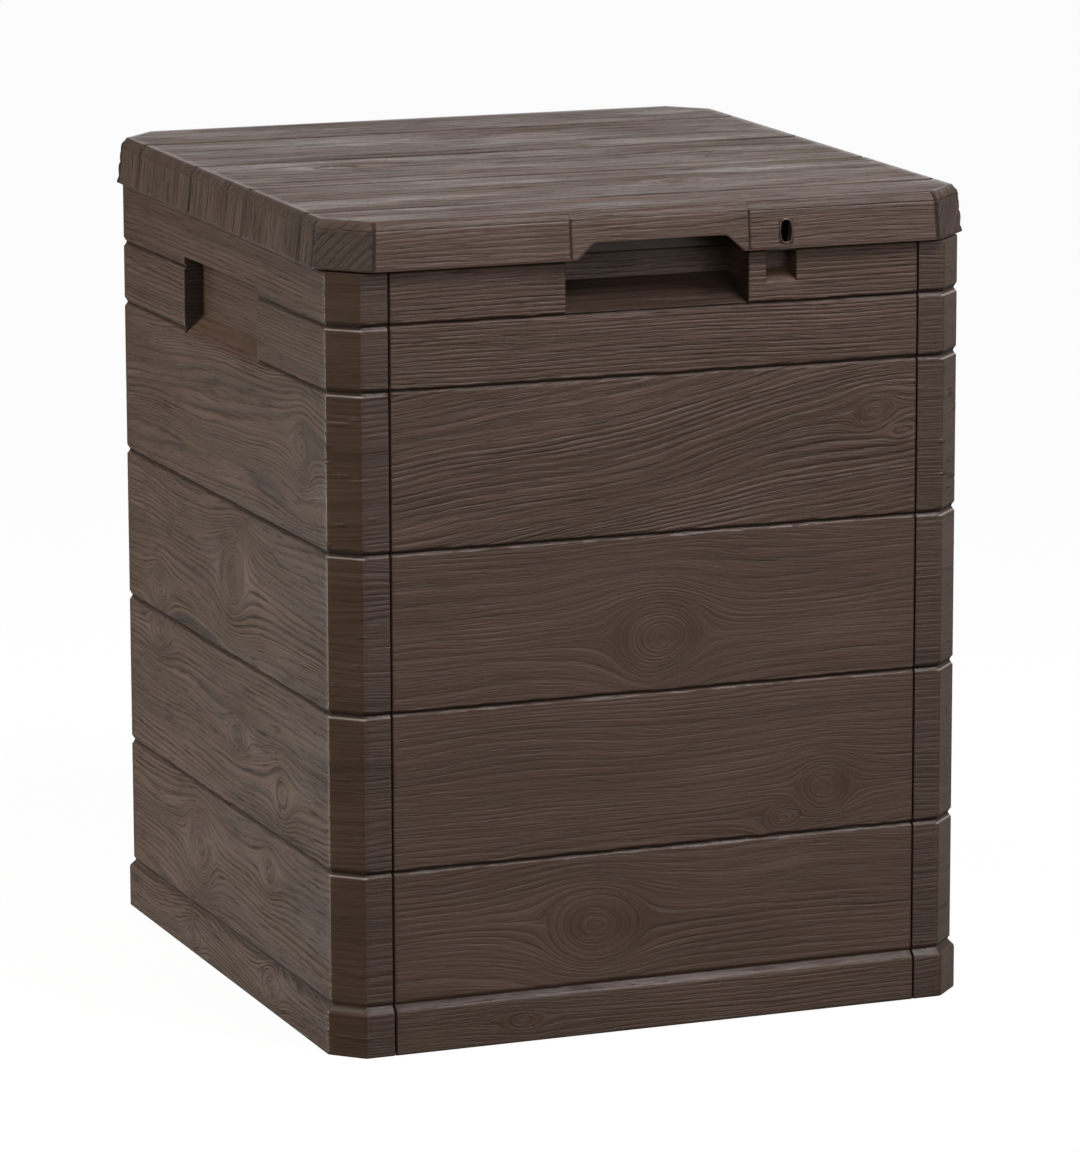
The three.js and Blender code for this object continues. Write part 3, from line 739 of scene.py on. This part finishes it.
def squeezed(z, bottom):
    """Below the bevel the heights are squeezed, to end at the skirt's edge or the notch's."""
    return np.where(z < -LID_BEVEL, -SHOULDER + (z + SHOULDER) * (bottom + SHOULDER) / (SHOULDER - LID_SKIRT), z)


def on_skirt(behind):
    """Puts points of the slot on the skirt's front face, or that far behind it."""
    def place(xz, out):
        return np.stack([xz[:, 0], -LID_HALF_Y + behind + FLARE * (LID_SKIRT + xz[:, 1]) - out, xz[:, 1]], -1)

    return place


def patch_hole(ring, rows, low_x, high_x, low_z, high_z):
    """Which rows and columns of the skirt's grid bound the padlock slot's patch."""
    columns = np.where((ring.kind == 0) & (ring.xy[:, 0] >= low_x) & (ring.xy[:, 0] <= high_x))[0]
    levels = [k for k, row in enumerate(rows) if low_z <= row[1] <= high_z]
    return levels[0], levels[-1], columns[0], columns[-1]


def skirt_bottom(x, y):
    """Height of the skirt's lower edge, with the finger notch in the middle of the front."""
    notch = np.interp(np.abs(x), NOTCH_STEPS, [0, 0.9, NOTCH_RISE])
    return np.where(y < 0, NOTCH_TOP - notch, -LID_SKIRT)


def plank_groove(y, half=1.8):
    return np.clip(1.15 - nearest(y, PLANK_JOINTS) / half, 0, 1)


def by_plank(x, y, boards):
    """Embossing of the lid's planks, along X."""
    grain = np.zeros(x.shape + (3,))
    height = np.zeros(x.shape)
    for low, high, b in zip(PLANK_BOUNDS, PLANK_BOUNDS[1:], boards):
        inside = (y >= low) & (y < high)
        height[inside], grain[inside] = emboss(x[inside], y[inside], b, narrow=1.5)
    return grain, height * ease(nearest(y, PLANK_JOINTS), 0.5, 2.6)


def lid_top(sheet, planks):
    inset = LID_FLARE + LID_BEVEL_IN + 1
    hx, hy = LID_HALF_X - inset, LID_HALF_Y - inset
    corner = LID_CORNER - inset * CHAMFER
    x, y, reach = cut_plane(hx, hy, corner, 3.1, 1.1, [-hx + 3, hx - 3], around(PLANK_JOINTS, PLANK_STEPS))
    border = np.minimum(reach - np.abs(x), hy - np.abs(y))
    grain, height = by_plank(x, y, planks)
    soft = ease(border, 0, 5)
    ragged = 1 + ease(border, 2, 10) * (0.2 * noise(x / 12, y / 40, 4) + 0.12 * noise(x / 4, y / 40, 5))
    groove = plank_groove(y) * ragged
    z = (height - PRESSED) * soft - 1.3 * groove
    look = np.stack([PLANK_CONTRAST * soft, groove, np.zeros(x.shape), 0.5 + height], -1)
    sheet.grid(np.stack([x, y, z], -1), grain, look)


def skirt_rows(zs):
    """Rows from the top surface down, over the lower edge and up inside: inset, height, facing angle and zone."""
    low = -LID_SKIRT
    rows = [(8.6, -0.7, 90, 0), (7.5, 0, 90, 0), (6.9, -0.04, 80, 0), (6.4, -0.3, 62, 0), (5.9, -0.8, 49, 0),
            (4.9, -1.9, 49, 0), (3.7, -3.2, 45, 0), (3.1, -4.1, 25, 0), (2.85, -5.2, 8, 0)]
    rows += [(FLARE * (LID_SKIRT + z), z, math.degrees(math.atan(FLARE)), 1) for z in zs]
    rows += [(0.08, low + 0.35, 0, 2), (0.35, low + 0.08, -40, 2), (0.9, low, -90, 2), (1.9, low, -90, 2)]
    return rows + [(2.4, low + 0.25, -90, 2)]


def lid_skirt(sheet, boards):
    """Bevel (zone 0), skirt (1) and lower edge (2), all round."""
    low_x, high_x, low_z, high_z = 80.0, 90.0, -27.4, -11.4
    notch_steps = NOTCH_STEPS + [58.4, 59.2, 59.6, 60, 60.4, 60.8, 61.6]
    slot_steps = [low_x, 81.2, 82.5, 83.8, 85, 86.2, 87.5, 88.8, high_x]
    front = np.concatenate([stations(0, 164, 3.2, notch_steps + slot_steps), np.linspace(167, 200, 10)])
    side = np.concatenate([[-200.0], stations(-195, 195, 1.0, around(PLANK_JOINTS, PLANK_STEPS)), [200.0]])
    back = np.concatenate([stations(0, 164, 4), np.linspace(168, 200, 9)])
    rows = skirt_rows(-stations(5.9, 29.7, 0.8, [-high_z, -low_z]))
    points, grains, looks = [], [], []
    for inset, z, angle, zone in rows:
        ring = lid_outline(inset, front, side, back, 2.2)
        x, y = ring.xy.T
        n = len(x)
        is_front, is_side, is_back = (ring.kind == k for k in (0, 4, 8))
        facet = ~(is_front | is_side | is_back)
        bottom = np.where(is_front, skirt_bottom(x, y), -LID_SKIRT)
        level = squeezed(z, bottom)
        grain = np.zeros((n, 3))
        height = np.zeros(n)
        contrast = np.ones(n)
        for mask, u, v, b in skirt_zones(x, y, level, is_front, is_side, is_back, facet, boards):
            if mask.any():
                contrast[mask] = b.contrast
                height[mask], grain[mask] = emboss(u[mask], v[mask], b)
        weight = np.full(n, {0: 0.3 + 0.5 * float(z < -1), 1: 1.0, 2: 0.0}[zone])
        groove = np.where(is_side, plank_groove(y, 2.5), 0)
        if zone == 1:
            weight = weight * ease(level - bottom, 0.2, 2.0) * ease(-z, 5.2, 7.5)
            groove = np.maximum(groove, is_front * 0.55 * np.clip(1 - nearest(x, MARKS) / 0.9, 0, 1))
        out = (height - PRESSED) * weight - 1.6 * groove * (1.2 if zone == 0 and angle < 85 else 1.0)
        flat, rise = math.cos(math.radians(angle)), math.sin(math.radians(angle)) * (zone != 2)
        # The notch's edge is higher up the flared skirt, and so further in.
        down = np.clip((-SHOULDER - z) / (LID_SKIRT - SHOULDER), 0, 1)
        drawn_in = (FLARE * (bottom + LID_SKIRT) if zone else np.zeros(n)) * down
        xy = ring.xy + ring.normal * (out * flat)[:, None] - ring.normal * drawn_in[:, None]
        points.append(np.column_stack([xy, level + out * rise]))
        grains.append(grain)
        # Painted shade: the lid's cut corners and bevel are painted darker, with scuffs.
        scuff = np.where(facet, 0.8, 0.15) if zone else np.full(n, 0.5)
        # Painted sheen: the lid's front skirt is painted paler.
        painted_light = SKIRT_PAINTED_SHEEN * (is_front & (zone == 1))
        looks.append(np.stack([weight * contrast, groove, scuff, 0.5 + height + painted_light], -1))
    ring = lid_outline(0, front, side, back, 2.2)
    hole = patch_hole(ring, rows, low_x - 0.01, high_x + 0.01, low_z - 0.01, high_z + 0.01)
    border = sheet.grid(np.array(points), np.array(grains), np.array(looks), flip=True, closed=True, hole=hole)

    rings = [(4.9, -0.25), (4.65, -0.1), (4.4, 0.2), (4.1, 0.25), (3.85, 0.15), (3.65, -0.15), (3.6, -1), (3.6, -2.6)]
    edge = np.concatenate(sheet.points)[border][:, [0, 2]]
    slot_rings(sheet, border, edge, LID_SLOT, LID_SLOT_HALF, rings, on_skirt(0), GRAINED, True)


def skirt_zones(x, y, z, is_front, is_side, is_back, facet, boards):
    """Which figure each stretch of the skirt has, and the coordinates it is drawn in."""
    third = np.where(x < MARKS[0], 0, np.where(x < MARKS[1], 1, 2))
    for k in range(3):
        yield is_front & (third == k), x, z, boards["front"][k]
    yield is_back, -x, z, boards["back"]
    for k in range(5):
        plank = is_side & (y >= PLANK_BOUNDS[k]) & (y < PLANK_BOUNDS[k + 1])
        for sign in (-1, 1):
            yield plank & (np.sign(x) == sign), z, y, boards["ends"][(k + 2 * (sign > 0)) % 5]
    s = np.hypot(x - np.sign(x) * (LID_HALF_X - LID_CORNER), np.abs(y) - LID_HALF_Y) * np.sign(-x * y)
    yield facet, (s + z) * math.sqrt(0.5), (z - s) * math.sqrt(0.5), boards["sawn"]


def lid_inside(sheet):
    """Underside: flat skin, inner face of the skirt, ribs and the two pairs of hinge arms."""
    low_x, high_x, edge, under = 77, 93, 12, -3.0
    front = np.concatenate([stations(0, 164, 8, NOTCH_STEPS + [low_x, 81, 85, 89, high_x]), np.linspace(167, 200, 6)])
    side = np.concatenate([[-200.0], stations(-195, 195, 12), [200.0]])
    rows = [(LID_SKIN, -LID_SKIRT + 0.3)]
    rows += [(LID_SKIN + FLARE * (LID_SKIRT + z), z) for z in -stations(9.6, 29.2, 5)[::-1]]
    rows += [(LID_SKIN + FLARE * (LID_SKIRT - SHOULDER) + 0.1, -SHOULDER), (6.3, -4), (7.2, -3.2)]
    rows += [(8.4, under), (edge, under)]
    points = []
    for inset, z in rows:
        ring = lid_outline(inset, front, side, front, 2.6)
        bottom = np.where(ring.kind == 0, skirt_bottom(*ring.xy.T), -LID_SKIRT)
        points.append(np.column_stack([ring.xy, squeezed(z, bottom)]))
    hole = patch_hole(lid_outline(0, front, side, front, 2.6), rows, low_x - 0.1, high_x + 0.1, -29.3, -9.5)
    border = sheet.grid(np.array(points), slot=SMOOTH, closed=True, hole=hole)

    at = np.concatenate(sheet.points)[border][:, [0, 2]]
    slot_rings(sheet, border, at, LID_SLOT, LID_SLOT_HALF, [(5, 0), (4, 0), (3.6, 0.3)], on_skirt(LID_SKIN), SMOOTH)
    x, y, _ = cut_plane(LID_HALF_X - edge, LID_HALF_Y - edge, LID_CORNER - edge * CHAMFER, 20, 20)
    sheet.grid(np.stack([x, y, np.full(x.shape, under)], -1), slot=SMOOTH, flip=True)
    reach, half = 172, 1.2
    for at in np.linspace(-reach, reach, 5):
        across, along = (at - half, at + half), (-reach - half, reach + half)
        for spans in (across + along, along + across):
            block(sheet, *spans, -LID_RIB, -2.5, edge=0.3, taper=0.25)
    hinge_arms(sheet)


def hinge_arms(sheet):
    axis = lid_frame.inverted() @ Vector((0, HINGE_Y, HINGE_Z))
    neck = [(-4, 4), (4, 4), (4, 10), (5, 11), (9, 11.5), (12.8, 12.8), (12.8, 28), (9.6, 28), (9.6, 15), (-4, 15)]
    for x in [side * HINGE_X + step * ARM_OFFSET for side in (-1, 1) for step in (-1, 1)]:
        near, far = x - ARM_HALF, x + ARM_HALF
        bm = bmesh.new()
        face = bm.faces.new([bm.verts.new((near, axis.y + y, axis.z + z)) for y, z in neck])
        made = bmesh.ops.extrude_face_region(bm, geom=[face])
        moved = [g for g in made["geom"] if isinstance(g, bmesh.types.BMVert)]
        bmesh.ops.translate(bm, verts=moved, vec=(2 * ARM_HALF, 0, 0))
        bmesh.ops.recalc_face_normals(bm, faces=bm.faces)
        bmesh.ops.bevel(bm, geom=bm.edges[:], offset=0.5, segments=2, affect="EDGES", profile=0.5)
        sheet.add_bmesh(bm)
        profile = [(near, BORE_R), (near, KNUCKLE_R - 0.5), (near + 0.5, KNUCKLE_R), (far - 0.5, KNUCKLE_R),
                   (far, KNUCKLE_R - 0.5), (far, BORE_R), (near, BORE_R)]
        lathe(sheet, profile, axis.y, axis.z, SMOOTH)


def lathe(sheet, profile, y, z, slot=GRAINED, flip=True, sides=40):
    """Turns a profile of (x, radius) points about an axis along X."""
    a = np.linspace(0, 2 * math.pi, sides, endpoint=False)
    points = np.array([[(x, y + r * math.cos(t), z + r * math.sin(t)) for t in a] for x, r in profile])
    sheet.grid(points, slot=slot, closed=True, flip=flip)


def lid(planks, skirt):
    sheet = Sheet()
    lid_top(sheet, planks)
    lid_skirt(sheet, skirt)
    lid_inside(sheet)
    piece = sheet.build("lid_planks", [board_resin, plain_resin], "lid", "lid", matrix=lid_frame)


# ---------------------------------------------------------------- hinge pins
def hinge_pin(side):
    """Snap-in pin: a tapered tip, the shaft, and a flat head."""
    sheet = Sheet()
    near = side * (HINGE_X - POCKET_HALF - WALL - 2.5)
    far = side * (HINGE_X + POCKET_HALF + WALL + 0.4)
    head = far + side * 2.5
    profile = [(near, 0.01), (near, 2.0), (near + side * 0.5, 2.4), (near + side * 1.8, PIN_R), (far, PIN_R)]
    profile += [(far, 4.4), (far + side * 0.3, 4.8), (head - side * 0.6, 4.8), (head - side * 0.1, 4.3), (head, 3.4)]
    profile += [(head - side * 0.5, 2.6), (head - side * 0.5, 0.01)]
    lathe(sheet, profile, HINGE_Y, HINGE_Z, flip=side > 0)
    name = "hinge_pin_right" if side > 0 else "hinge_pin_left"
    piece = sheet.build(name + "_turned", [pin_resin], "box", name)


# ---------------------------------------------------------------- materials
class Nodes:
    """Short hand for building a node tree. A value is a number, a colour or another node's output."""

    def __init__(self, owner):
        self.tree = owner.node_tree
        self.shader = self.tree.nodes.get("Principled BSDF")

    def add(self, kind, **settings):
        node = self.tree.nodes.new(kind)
        for key, value in settings.items():
            setattr(node, key, value)
        return node

    def put(self, socket, value):
        if isinstance(value, bpy.types.NodeSocket):
            self.tree.links.new(value, socket)
        else:
            socket.default_value = (*value, 1) if isinstance(value, tuple) else value

    def made(self, node, *values, first=0, output=0):
        for socket, value in zip(node.inputs[first:], values):
            self.put(socket, value)
        return node.outputs[output]

    def math(self, operation, a, b=0.0, c=0.0, clamp=False):
        return self.made(self.add("ShaderNodeMath", operation=operation, use_clamp=clamp), a, b, c)

    def times(self, a, b, clamp=False):
        return self.math("MULTIPLY", a, b, clamp=clamp)

    def line(self, value, slope, start, clamp=False):
        return self.math("MULTIPLY_ADD", value, slope, start, clamp)

    def centred(self, value, middle=0.5):
        return self.math("SUBTRACT", value, middle)

    def total(self, start, *shares, clamp=False):
        """A start and shares of other values, each given as (value, factor)."""
        for k, share in enumerate(shares, 1):
            start = self.math("ADD", start, self.times(*share), clamp=clamp and k == len(shares))
        return start

    def split(self, vector):
        node = self.add("ShaderNodeSeparateXYZ")
        self.put(node.inputs[0], vector)
        return node.outputs

    def noise(self, vector, scale=1.0, detail=3.0, roughness=0.5, distortion=0.0):
        node = self.add("ShaderNodeTexNoise")
        names = ("Vector", "Scale", "Detail", "Roughness", "Distortion")
        for name, value in zip(names, (vector, scale, detail, roughness, distortion)):
            self.put(node.inputs[name], value)
        return node.outputs["Fac"]

    def ramp(self, value, *stops):
        node = self.add("ShaderNodeValToRGB")
        for k, (position, colour) in enumerate(stops):
            stop = node.color_ramp.elements[k] if k < 2 else node.color_ramp.elements.new(position)
            stop.position = position
            stop.color = (*colour, 1) if isinstance(colour, tuple) else (colour, colour, colour, 1)
        return self.made(node, value)

    def mix(self, factor, a, b):
        node = self.add("ShaderNodeMix", data_type="RGBA")
        self.put(node.inputs[0], factor)
        return self.made(node, a, b, first=6, output=2)

    def bump(self, height, distance, normal=None):
        node = self.add("ShaderNodeBump")
        self.put(node.inputs["Strength"], 1.0)
        self.put(node.inputs["Distance"], distance)
        self.put(node.inputs["Height"], height)
        if normal is not None:
            self.put(node.inputs["Normal"], normal)
        return node.outputs[0]

    def finish(self, base, rough, normal, ior=None):
        for name, value in (("Base Color", base), ("Roughness", rough), ("Normal", normal), ("IOR", ior)):
            if value is not None:
                self.put(self.shader.inputs[name], value)


def new_material(name):
    material = bpy.data.materials.new(name)
    material.use_nodes = True
    n = Nodes(material)
    return material, n, n.add("ShaderNodeTexCoord").outputs["Object"]


def make_board_resin():
    material, n, place = new_material("board_resin")
    along, across, rings = n.split(n.add("ShaderNodeAttribute", attribute_name="grain").outputs["Vector"])
    look = n.add("ShaderNodeAttribute", attribute_name="look")
    # The look's channels: grain strength, darkness of the joints with painted shade, scuffs with painted shade, and
    # paleness of the relief with painted light.
    weight, groove, scuff = n.split(look.outputs["Color"])
    relief_and_painted_light = look.outputs["Alpha"]

    def drawn_out(x, y, z, detail=3, roughness=0.5, over=across):
        """Noise stretched along the grain: changes per millimetre along and over it, and a place of its own."""
        vector = n.made(n.add("ShaderNodeCombineXYZ"), n.times(along, x), n.times(over, y), z)
        return n.noise(vector, detail=detail, roughness=roughness)

    # One growth ring: dark at its start, palest on its flat.
    ring = n.ramp(n.math("FRACT", rings), (0.0, 0.0), (1.0, 0.0), (0.1, 0.3), (0.35, 0.85), (0.82, 1.0), (0.94, 0.5))
    matte = n.times(n.ramp(drawn_out(0.0065, 0.062, 3.0), (0.36, 0.2), (0.6, 1.0)), weight)
    fibre = drawn_out(0.028, 0.7, 0.0, 5, 0.66)
    pits = n.times(n.ramp(drawn_out(0.03, 0.45, 7.0, 4, 0.6), (0.58, 0.0), (0.68, 1.0)), weight)
    nicks = drawn_out(0.075, 0.95, 5.0, 3, 0.6)
    cloud = drawn_out(0.006, 0.03, 9.0)
    band = drawn_out(0.003, 0.13, 14.0)
    broad = n.times(n.centred(drawn_out(0.005, 0.3, 27.0, 2, over=rings)), n.line(weight, 0.7, 0.1))
    warm = drawn_out(0.012, 0.05, 21.0, 2)
    marks = n.times(n.ramp(drawn_out(0.4, 1.6, 33.0, 3, 0.7), (0.62, 0.0), (0.72, 1.0)), scuff)
    speck = n.noise(place, 260, roughness=0.7)
    # Colour, from the darkest tone to the palest, then what lies over it.
    ringed = n.times(n.centred(ring, 0.7), matte)
    streak = n.times(n.centred(fibre), n.line(weight, 0.9, 0.15))
    # Tone rises with the paleness: the relief's height, and painted light on the handle's floor and the lid's front
    # skirt.
    tone = n.total(n.line(ringed, 0.7, 0.55), (broad, 0.9), (streak, 1.3), (n.centred(cloud), 0.5),
                   (n.centred(band), 0.35), (n.centred(relief_and_painted_light), 0.4), clamp=True)
    base = n.ramp(tone, (0.0, (0.033, 0.0178, 0.0104)), (1.0, (0.142, 0.0855, 0.0635)), (0.5, (0.084, 0.0476, 0.0309)))
    for factor, colour in (
        (n.ramp(warm, (0.5, 0.0), (0.75, 0.5)), (0.080, 0.050, 0.026)),
        # Scuffs, with painted shade on the returns, the cut corners and the lid's bevel.
        (n.times(scuff, 0.3), (0.024, 0.016, 0.011)),
        # Dark joints, and painted shade on the line over the plinth, the pull's floor and the handle's end walls.
        (n.times(groove, 0.75, clamp=True), (0.010, 0.007, 0.005)),
        (n.times(pits, 0.55), (0.022, 0.014, 0.010)),
        (n.times(marks, 0.5), (0.17, 0.14, 0.12)),
        # Painted glints: a near white highlight where the paleness runs high, on the corner lips and ticks.
        (n.times(n.line(relief_and_painted_light, 1.1, -1.5, clamp=True), 0.8), (0.36, 0.32, 0.29)),
    ):
        base = n.mix(factor, base, colour)
    # Gloss: the close rings are dull, the flats between them shine.
    rough = n.total(n.line(matte, 0.2, 0.31), (n.centred(fibre), 0.24), (broad, -0.35), (groove, 0.1), (pits, 0.2),
                    (n.centred(speck), 0.12))
    # Fine embossing.
    fine = n.total(n.times(n.times(ring, 0.4), matte), (n.times(fibre, 1.1), weight), (n.times(nicks, 0.7), weight),
                   (pits, -0.5))
    n.finish(base, rough, n.bump(fine, 0.0008, n.bump(speck, 0.00004)), 1.45)
    return material


def make_plain_resin():
    material, n, place = new_material("plain_resin")
    flow = n.add("ShaderNodeMapping")
    n.put(flow.inputs["Vector"], place)
    flow.inputs["Scale"].default_value = (6, 6, 1.5)
    cloud = n.noise(flow.outputs[0], 3, distortion=0.6)
    speck = n.noise(place, 420, roughness=0.65)
    scratch = n.noise(flow.outputs[0], 70, 2)
    tone = n.total(n.times(cloud, 0.7), (speck, 0.3))
    base = n.ramp(tone, (0.25, (0.030, 0.0215, 0.0170)), (0.75, (0.058, 0.043, 0.035)))
    base = n.mix(n.ramp(scratch, (0.66, 0.0), (0.74, 0.35)), base, (0.09, 0.075, 0.066))
    n.finish(base, n.line(cloud, 0.22, 0.34), n.bump(speck, 0.00006), 1.5)
    return material


def make_pin_resin():
    material, n, place = new_material("pin_resin")
    speck = n.noise(place, 700, roughness=0.6)
    rub = n.noise(place, 110)
    base = n.mix(n.ramp(rub, (0.5, 0.0), (0.7, 0.6)), (0.018, 0.014, 0.012), (0.05, 0.044, 0.04))
    n.finish(base, n.line(rub, 0.3, 0.22), n.bump(speck, 0.00004))
    return material


board_resin = make_board_resin()
plain_resin = make_plain_resin()
pin_resin = make_pin_resin()

# ---------------------------------------------------------------- the box
FRONT_BOARDS = [
    board(1, [(-90, 14, 6, 2.4)], 3.0, 0.35, 2.5, contrast=0.5),
    board(2, [(-46, 74, 24, 1.35)], 5.0, 0.2, 6.0, bunch=2.4, contrast=0.34),
    board(3, [(116, 147, 15, 1.5), (85, 128, 8, 1.8)], 5.0, 0.2, 5.5, bunch=2.4, contrast=0.34),
    board(4, [(-2, 252, 25, 1.15)], 5.5, 0.18, 5.0, bunch=2.6, contrast=0.34),
    board(5, [(152, 386, 10, 1.3), (176, 372, 7, 2)], 4.6, 1.15, 7.0, slope=-0.12, bunch=2.0, contrast=0.75),
    board(6, [], 3.0, 0.6, 1.5, contrast=0.8),
    board(7, [], 3.2, 0.6, 1.6, contrast=0.8),
]
LEFT_BOARDS = [
    board(21, [(87, 20, 11, 1.6), (-60, 8, 8, 2)], 3.4, 1.2, 5, bunch=2.0, contrast=1.3),
    board(22, [(-61, 76, 22, 1.0), (90, 92, 12, 1.3)], 4.2, 1.2, 5, bunch=2.8, contrast=1.2),
    board(23, [(116, 147, 14, 1.1), (-131, 205, 12, 2), (30, 172, 10, 2)], 4.0, 1.2, 5, bunch=2.8, contrast=1.2),
    board(24, [(24, 272, 25, 1.1), (-135, 234, 14, 1.4)], 4.2, 1.3, 6, bunch=3.0, contrast=1.2),
    board(25, [(155, 376, 17, 1.1)], 4.2, 1.5, 5, slope=-0.04, bunch=2.8, contrast=0.9),
    board(26, [], 3.2, 1.1, 2.5),
    board(27, [(-150, 440, 7, 1.8)], 3.2, 1.0, 2.5),
]
RIGHT_BOARDS = [
    board(41, [(-120, 18, 7, 2)], 3.2, 0.9, 4),
    board(42, [(40, 80, 14, 1.5)], 3.4, 1.0, 5),
    board(43, [(-110, 170, 13, 1.6), (150, 140, 8, 1.8)], 3.4, 0.9, 5),
    board(44, [(90, 262, 16, 1.5)], 3.6, 1.0, 5),
    board(45, [(-40, 372, 12, 1.5)], 3.4, 1.1, 6, slope=0.05),
    board(46, [], 3.0, 0.8, 2.5),
    board(47, [], 3.2, 0.7, 2.5),
]
BACK_BOARDS = [
    board(61, [], 3.0, 0.7, 3),
    board(62, [(70, 70, 14, 1.8)], 3.4, 0.8, 5),
    board(63, [(-100, 165, 13, 1.7)], 3.4, 0.8, 5),
    board(64, [(30, 275, 15, 1.6)], 3.4, 0.8, 5),
    board(65, [(-60, 365, 12, 1.7), (140, 390, 8, 2)], 3.6, 1.0, 6, slope=0.06),
    board(66, [], 3.0, 0.8, 2.5),
    board(67, [], 3.2, 0.8, 2.5),
]
PLANKS = [
    board(81, [], 8.0, 1.3, 2.5),
    board(82, [(60, -120, 9, 2.6)], 9.0, 1.3, 4),
    board(83, [(-137, 10, 14, 1.8), (120, -20, 7, 3)], 9.0, 1.3, 5),
    board(84, [(-14, 127, 11, 2.2)], 9.0, 1.3, 5),
    board(85, [(-100, 190, 8, 2.6)], 8.0, 1.3, 3),
]
SKIRT = {
    "front": [
        board(91, [(-205, 12, 12, 3.5)], 4.2, 0.25, 3, contrast=0.75),
        board(92, [], 4.0, 0.22, 1.5, contrast=0.75),
        board(93, [], 4.2, 0.25, 2, contrast=0.75),
    ],
    "back": board(94, [], 2.4, 0.7, 3),
    "ends": [board(95 + k, [], 4.4, 1.3, 0.6, contrast=1.7) for k in range(5)],
    "sawn": board(101, [], 4.4, 1.7, 1.2, sharp=1.6, contrast=1.2),
}

side_panel(-1, LEFT_BOARDS, 8)
side_panel(1, RIGHT_BOARDS, 9)
front_panel(FRONT_BOARDS)
back_panel(BACK_BOARDS)
lid(PLANKS, SKIRT)
hinge_pin(-1)
hinge_pin(1)
floor_node = frame["nodes"]["floor_panel"]
floor_node.data.materials.clear()
floor_node.data.materials.append(plain_resin)


# ---------------------------------------------------------------- stage, light and camera
def make_floor():
    material, n, _ = new_material("studio_floor")
    n.put(n.shader.inputs["Base Color"], (0.8, 0.8, 0.8))
    n.put(n.shader.inputs["Roughness"], 0.9)
    # The sweep is lit from below, as a photographer's table is, so that it stays white and shadows stay faint.
    table = n.add("ShaderNodeEmission")
    n.put(table.inputs["Strength"], 1.04)
    seen = n.times(n.add("ShaderNodeLightPath").outputs["Is Camera Ray"], 0.92)
    share = n.made(n.add("ShaderNodeMixShader"), seen, n.shader.outputs[0], table.outputs[0])
    n.put(n.tree.nodes["Material Output"].inputs["Surface"], share)
    mesh = bpy.data.meshes.new("studio_floor")
    mesh.from_pydata([(-9, -9, 0), (9, -9, 0), (9, 9, 0), (-9, 9, 0)], [], [(0, 1, 2, 3)])
    mesh.materials.append(material)
    floor = bpy.data.objects.new("studio_floor", mesh)
    floor.visible_diffuse = False
    floor.visible_glossy = False
    bpy.context.scene.collection.objects.link(floor)


def area_light(name, place, aim, size, power, colour=(1, 1, 1)):
    light = bpy.data.lights.new(name, "AREA")
    light.shape = "RECTANGLE"
    light.size, light.size_y = size
    light.energy = power
    light.color = colour
    lamp = bpy.data.objects.new(name, light)
    lamp.location = place
    lamp.rotation_euler = (Vector(aim) - Vector(place)).to_track_quat("-Z", "Y").to_euler()
    bpy.context.scene.collection.objects.link(lamp)


SOFT_LIGHTS = [  # direction, half angle in degrees, radiance added there
    ((0.43, 0.88, 0.19), 28, 1.27),
    ((0.37, -0.90, 0.26), 23, 2.4),
    ((-0.38, 0.78, -0.60), 28, 0.12),
    ((0.91, 0.36, -0.10), 30, 0.2),
]


def make_light():
    """Even surroundings with a few large soft panels painted in by direction, and softboxes."""
    world = bpy.data.worlds.new("studio")
    world.use_nodes = True
    n = Nodes(world)
    direction = n.add("ShaderNodeTexCoord").outputs["Generated"]
    total = n.math("ADD", 0.07, 0.0)
    for axis, angle, amount in SOFT_LIGHTS:
        dot = n.add("ShaderNodeVectorMath", operation="DOT_PRODUCT")
        n.put(dot.inputs[0], direction)
        dot.inputs[1].default_value = Vector(axis).normalized()
        panel = n.add("ShaderNodeMapRange", interpolation_type="SMOOTHSTEP")
        edges = [math.cos(math.radians(a)) for a in (angle, angle * 0.55)]
        for name, value in zip(("Value", "From Min", "From Max", "To Max"), (dot.outputs["Value"], *edges, amount)):
            n.put(panel.inputs[name], value)
        total = n.math("ADD", total, panel.outputs["Result"])
    n.put(n.tree.nodes["Background"].inputs["Strength"], total)
    n.put(n.tree.nodes["Background"].inputs["Color"], (1, 1, 1))
    bpy.context.scene.world = world
    aim = (0, 0, 0.3)
    area_light("left", (-1.35, 0.23, 0.15), (-0.2, 0, 0.12), (0.5, 0.4), 7.8, (1.0, 0.98, 0.86))
    area_light("bounce", (-0.66, 0.5, 0.03), (-0.3, 0.05, 0.15), (0.5, 0.5), 0.8)
    area_light("key", (-1.72, 0.55, 1.55), aim, (0.8, 0.8), 8.5, (1.0, 0.98, 0.86))
    area_light("overhead", (-0.9, 0.3, 2.25), aim, (0.5, 0.5), 7)
    area_light("front", (0.8, -1.15, 2.0), aim, (0.8, 0.6), 29.5, (1.0, 0.98, 1.0))
    area_light("corner", (-1.3, -1.6, 1.2), aim, (0.8, 0.8), 6)


def make_camera():
    camera = bpy.data.cameras.new("camera")
    camera.sensor_width = 36
    camera.lens = 183.17
    camera.clip_end = 30
    holder = bpy.data.objects.new("camera", camera)
    yaw, pitch, roll = 0.37596, 0.19573, -0.00295
    turn = Matrix.Rotation(-yaw, 4, "Z") @ Matrix.Rotation(math.pi / 2 - pitch, 4, "X") @ Matrix.Rotation(roll, 4, "Z")
    holder.matrix_world = Matrix.Translation((-1.3948, -3.5523, 1.0089)) @ turn
    bpy.context.scene.collection.objects.link(holder)
    bpy.context.scene.camera = holder


make_floor()
make_light()
make_camera()
bpy.context.scene.view_settings.view_transform = "Standard"
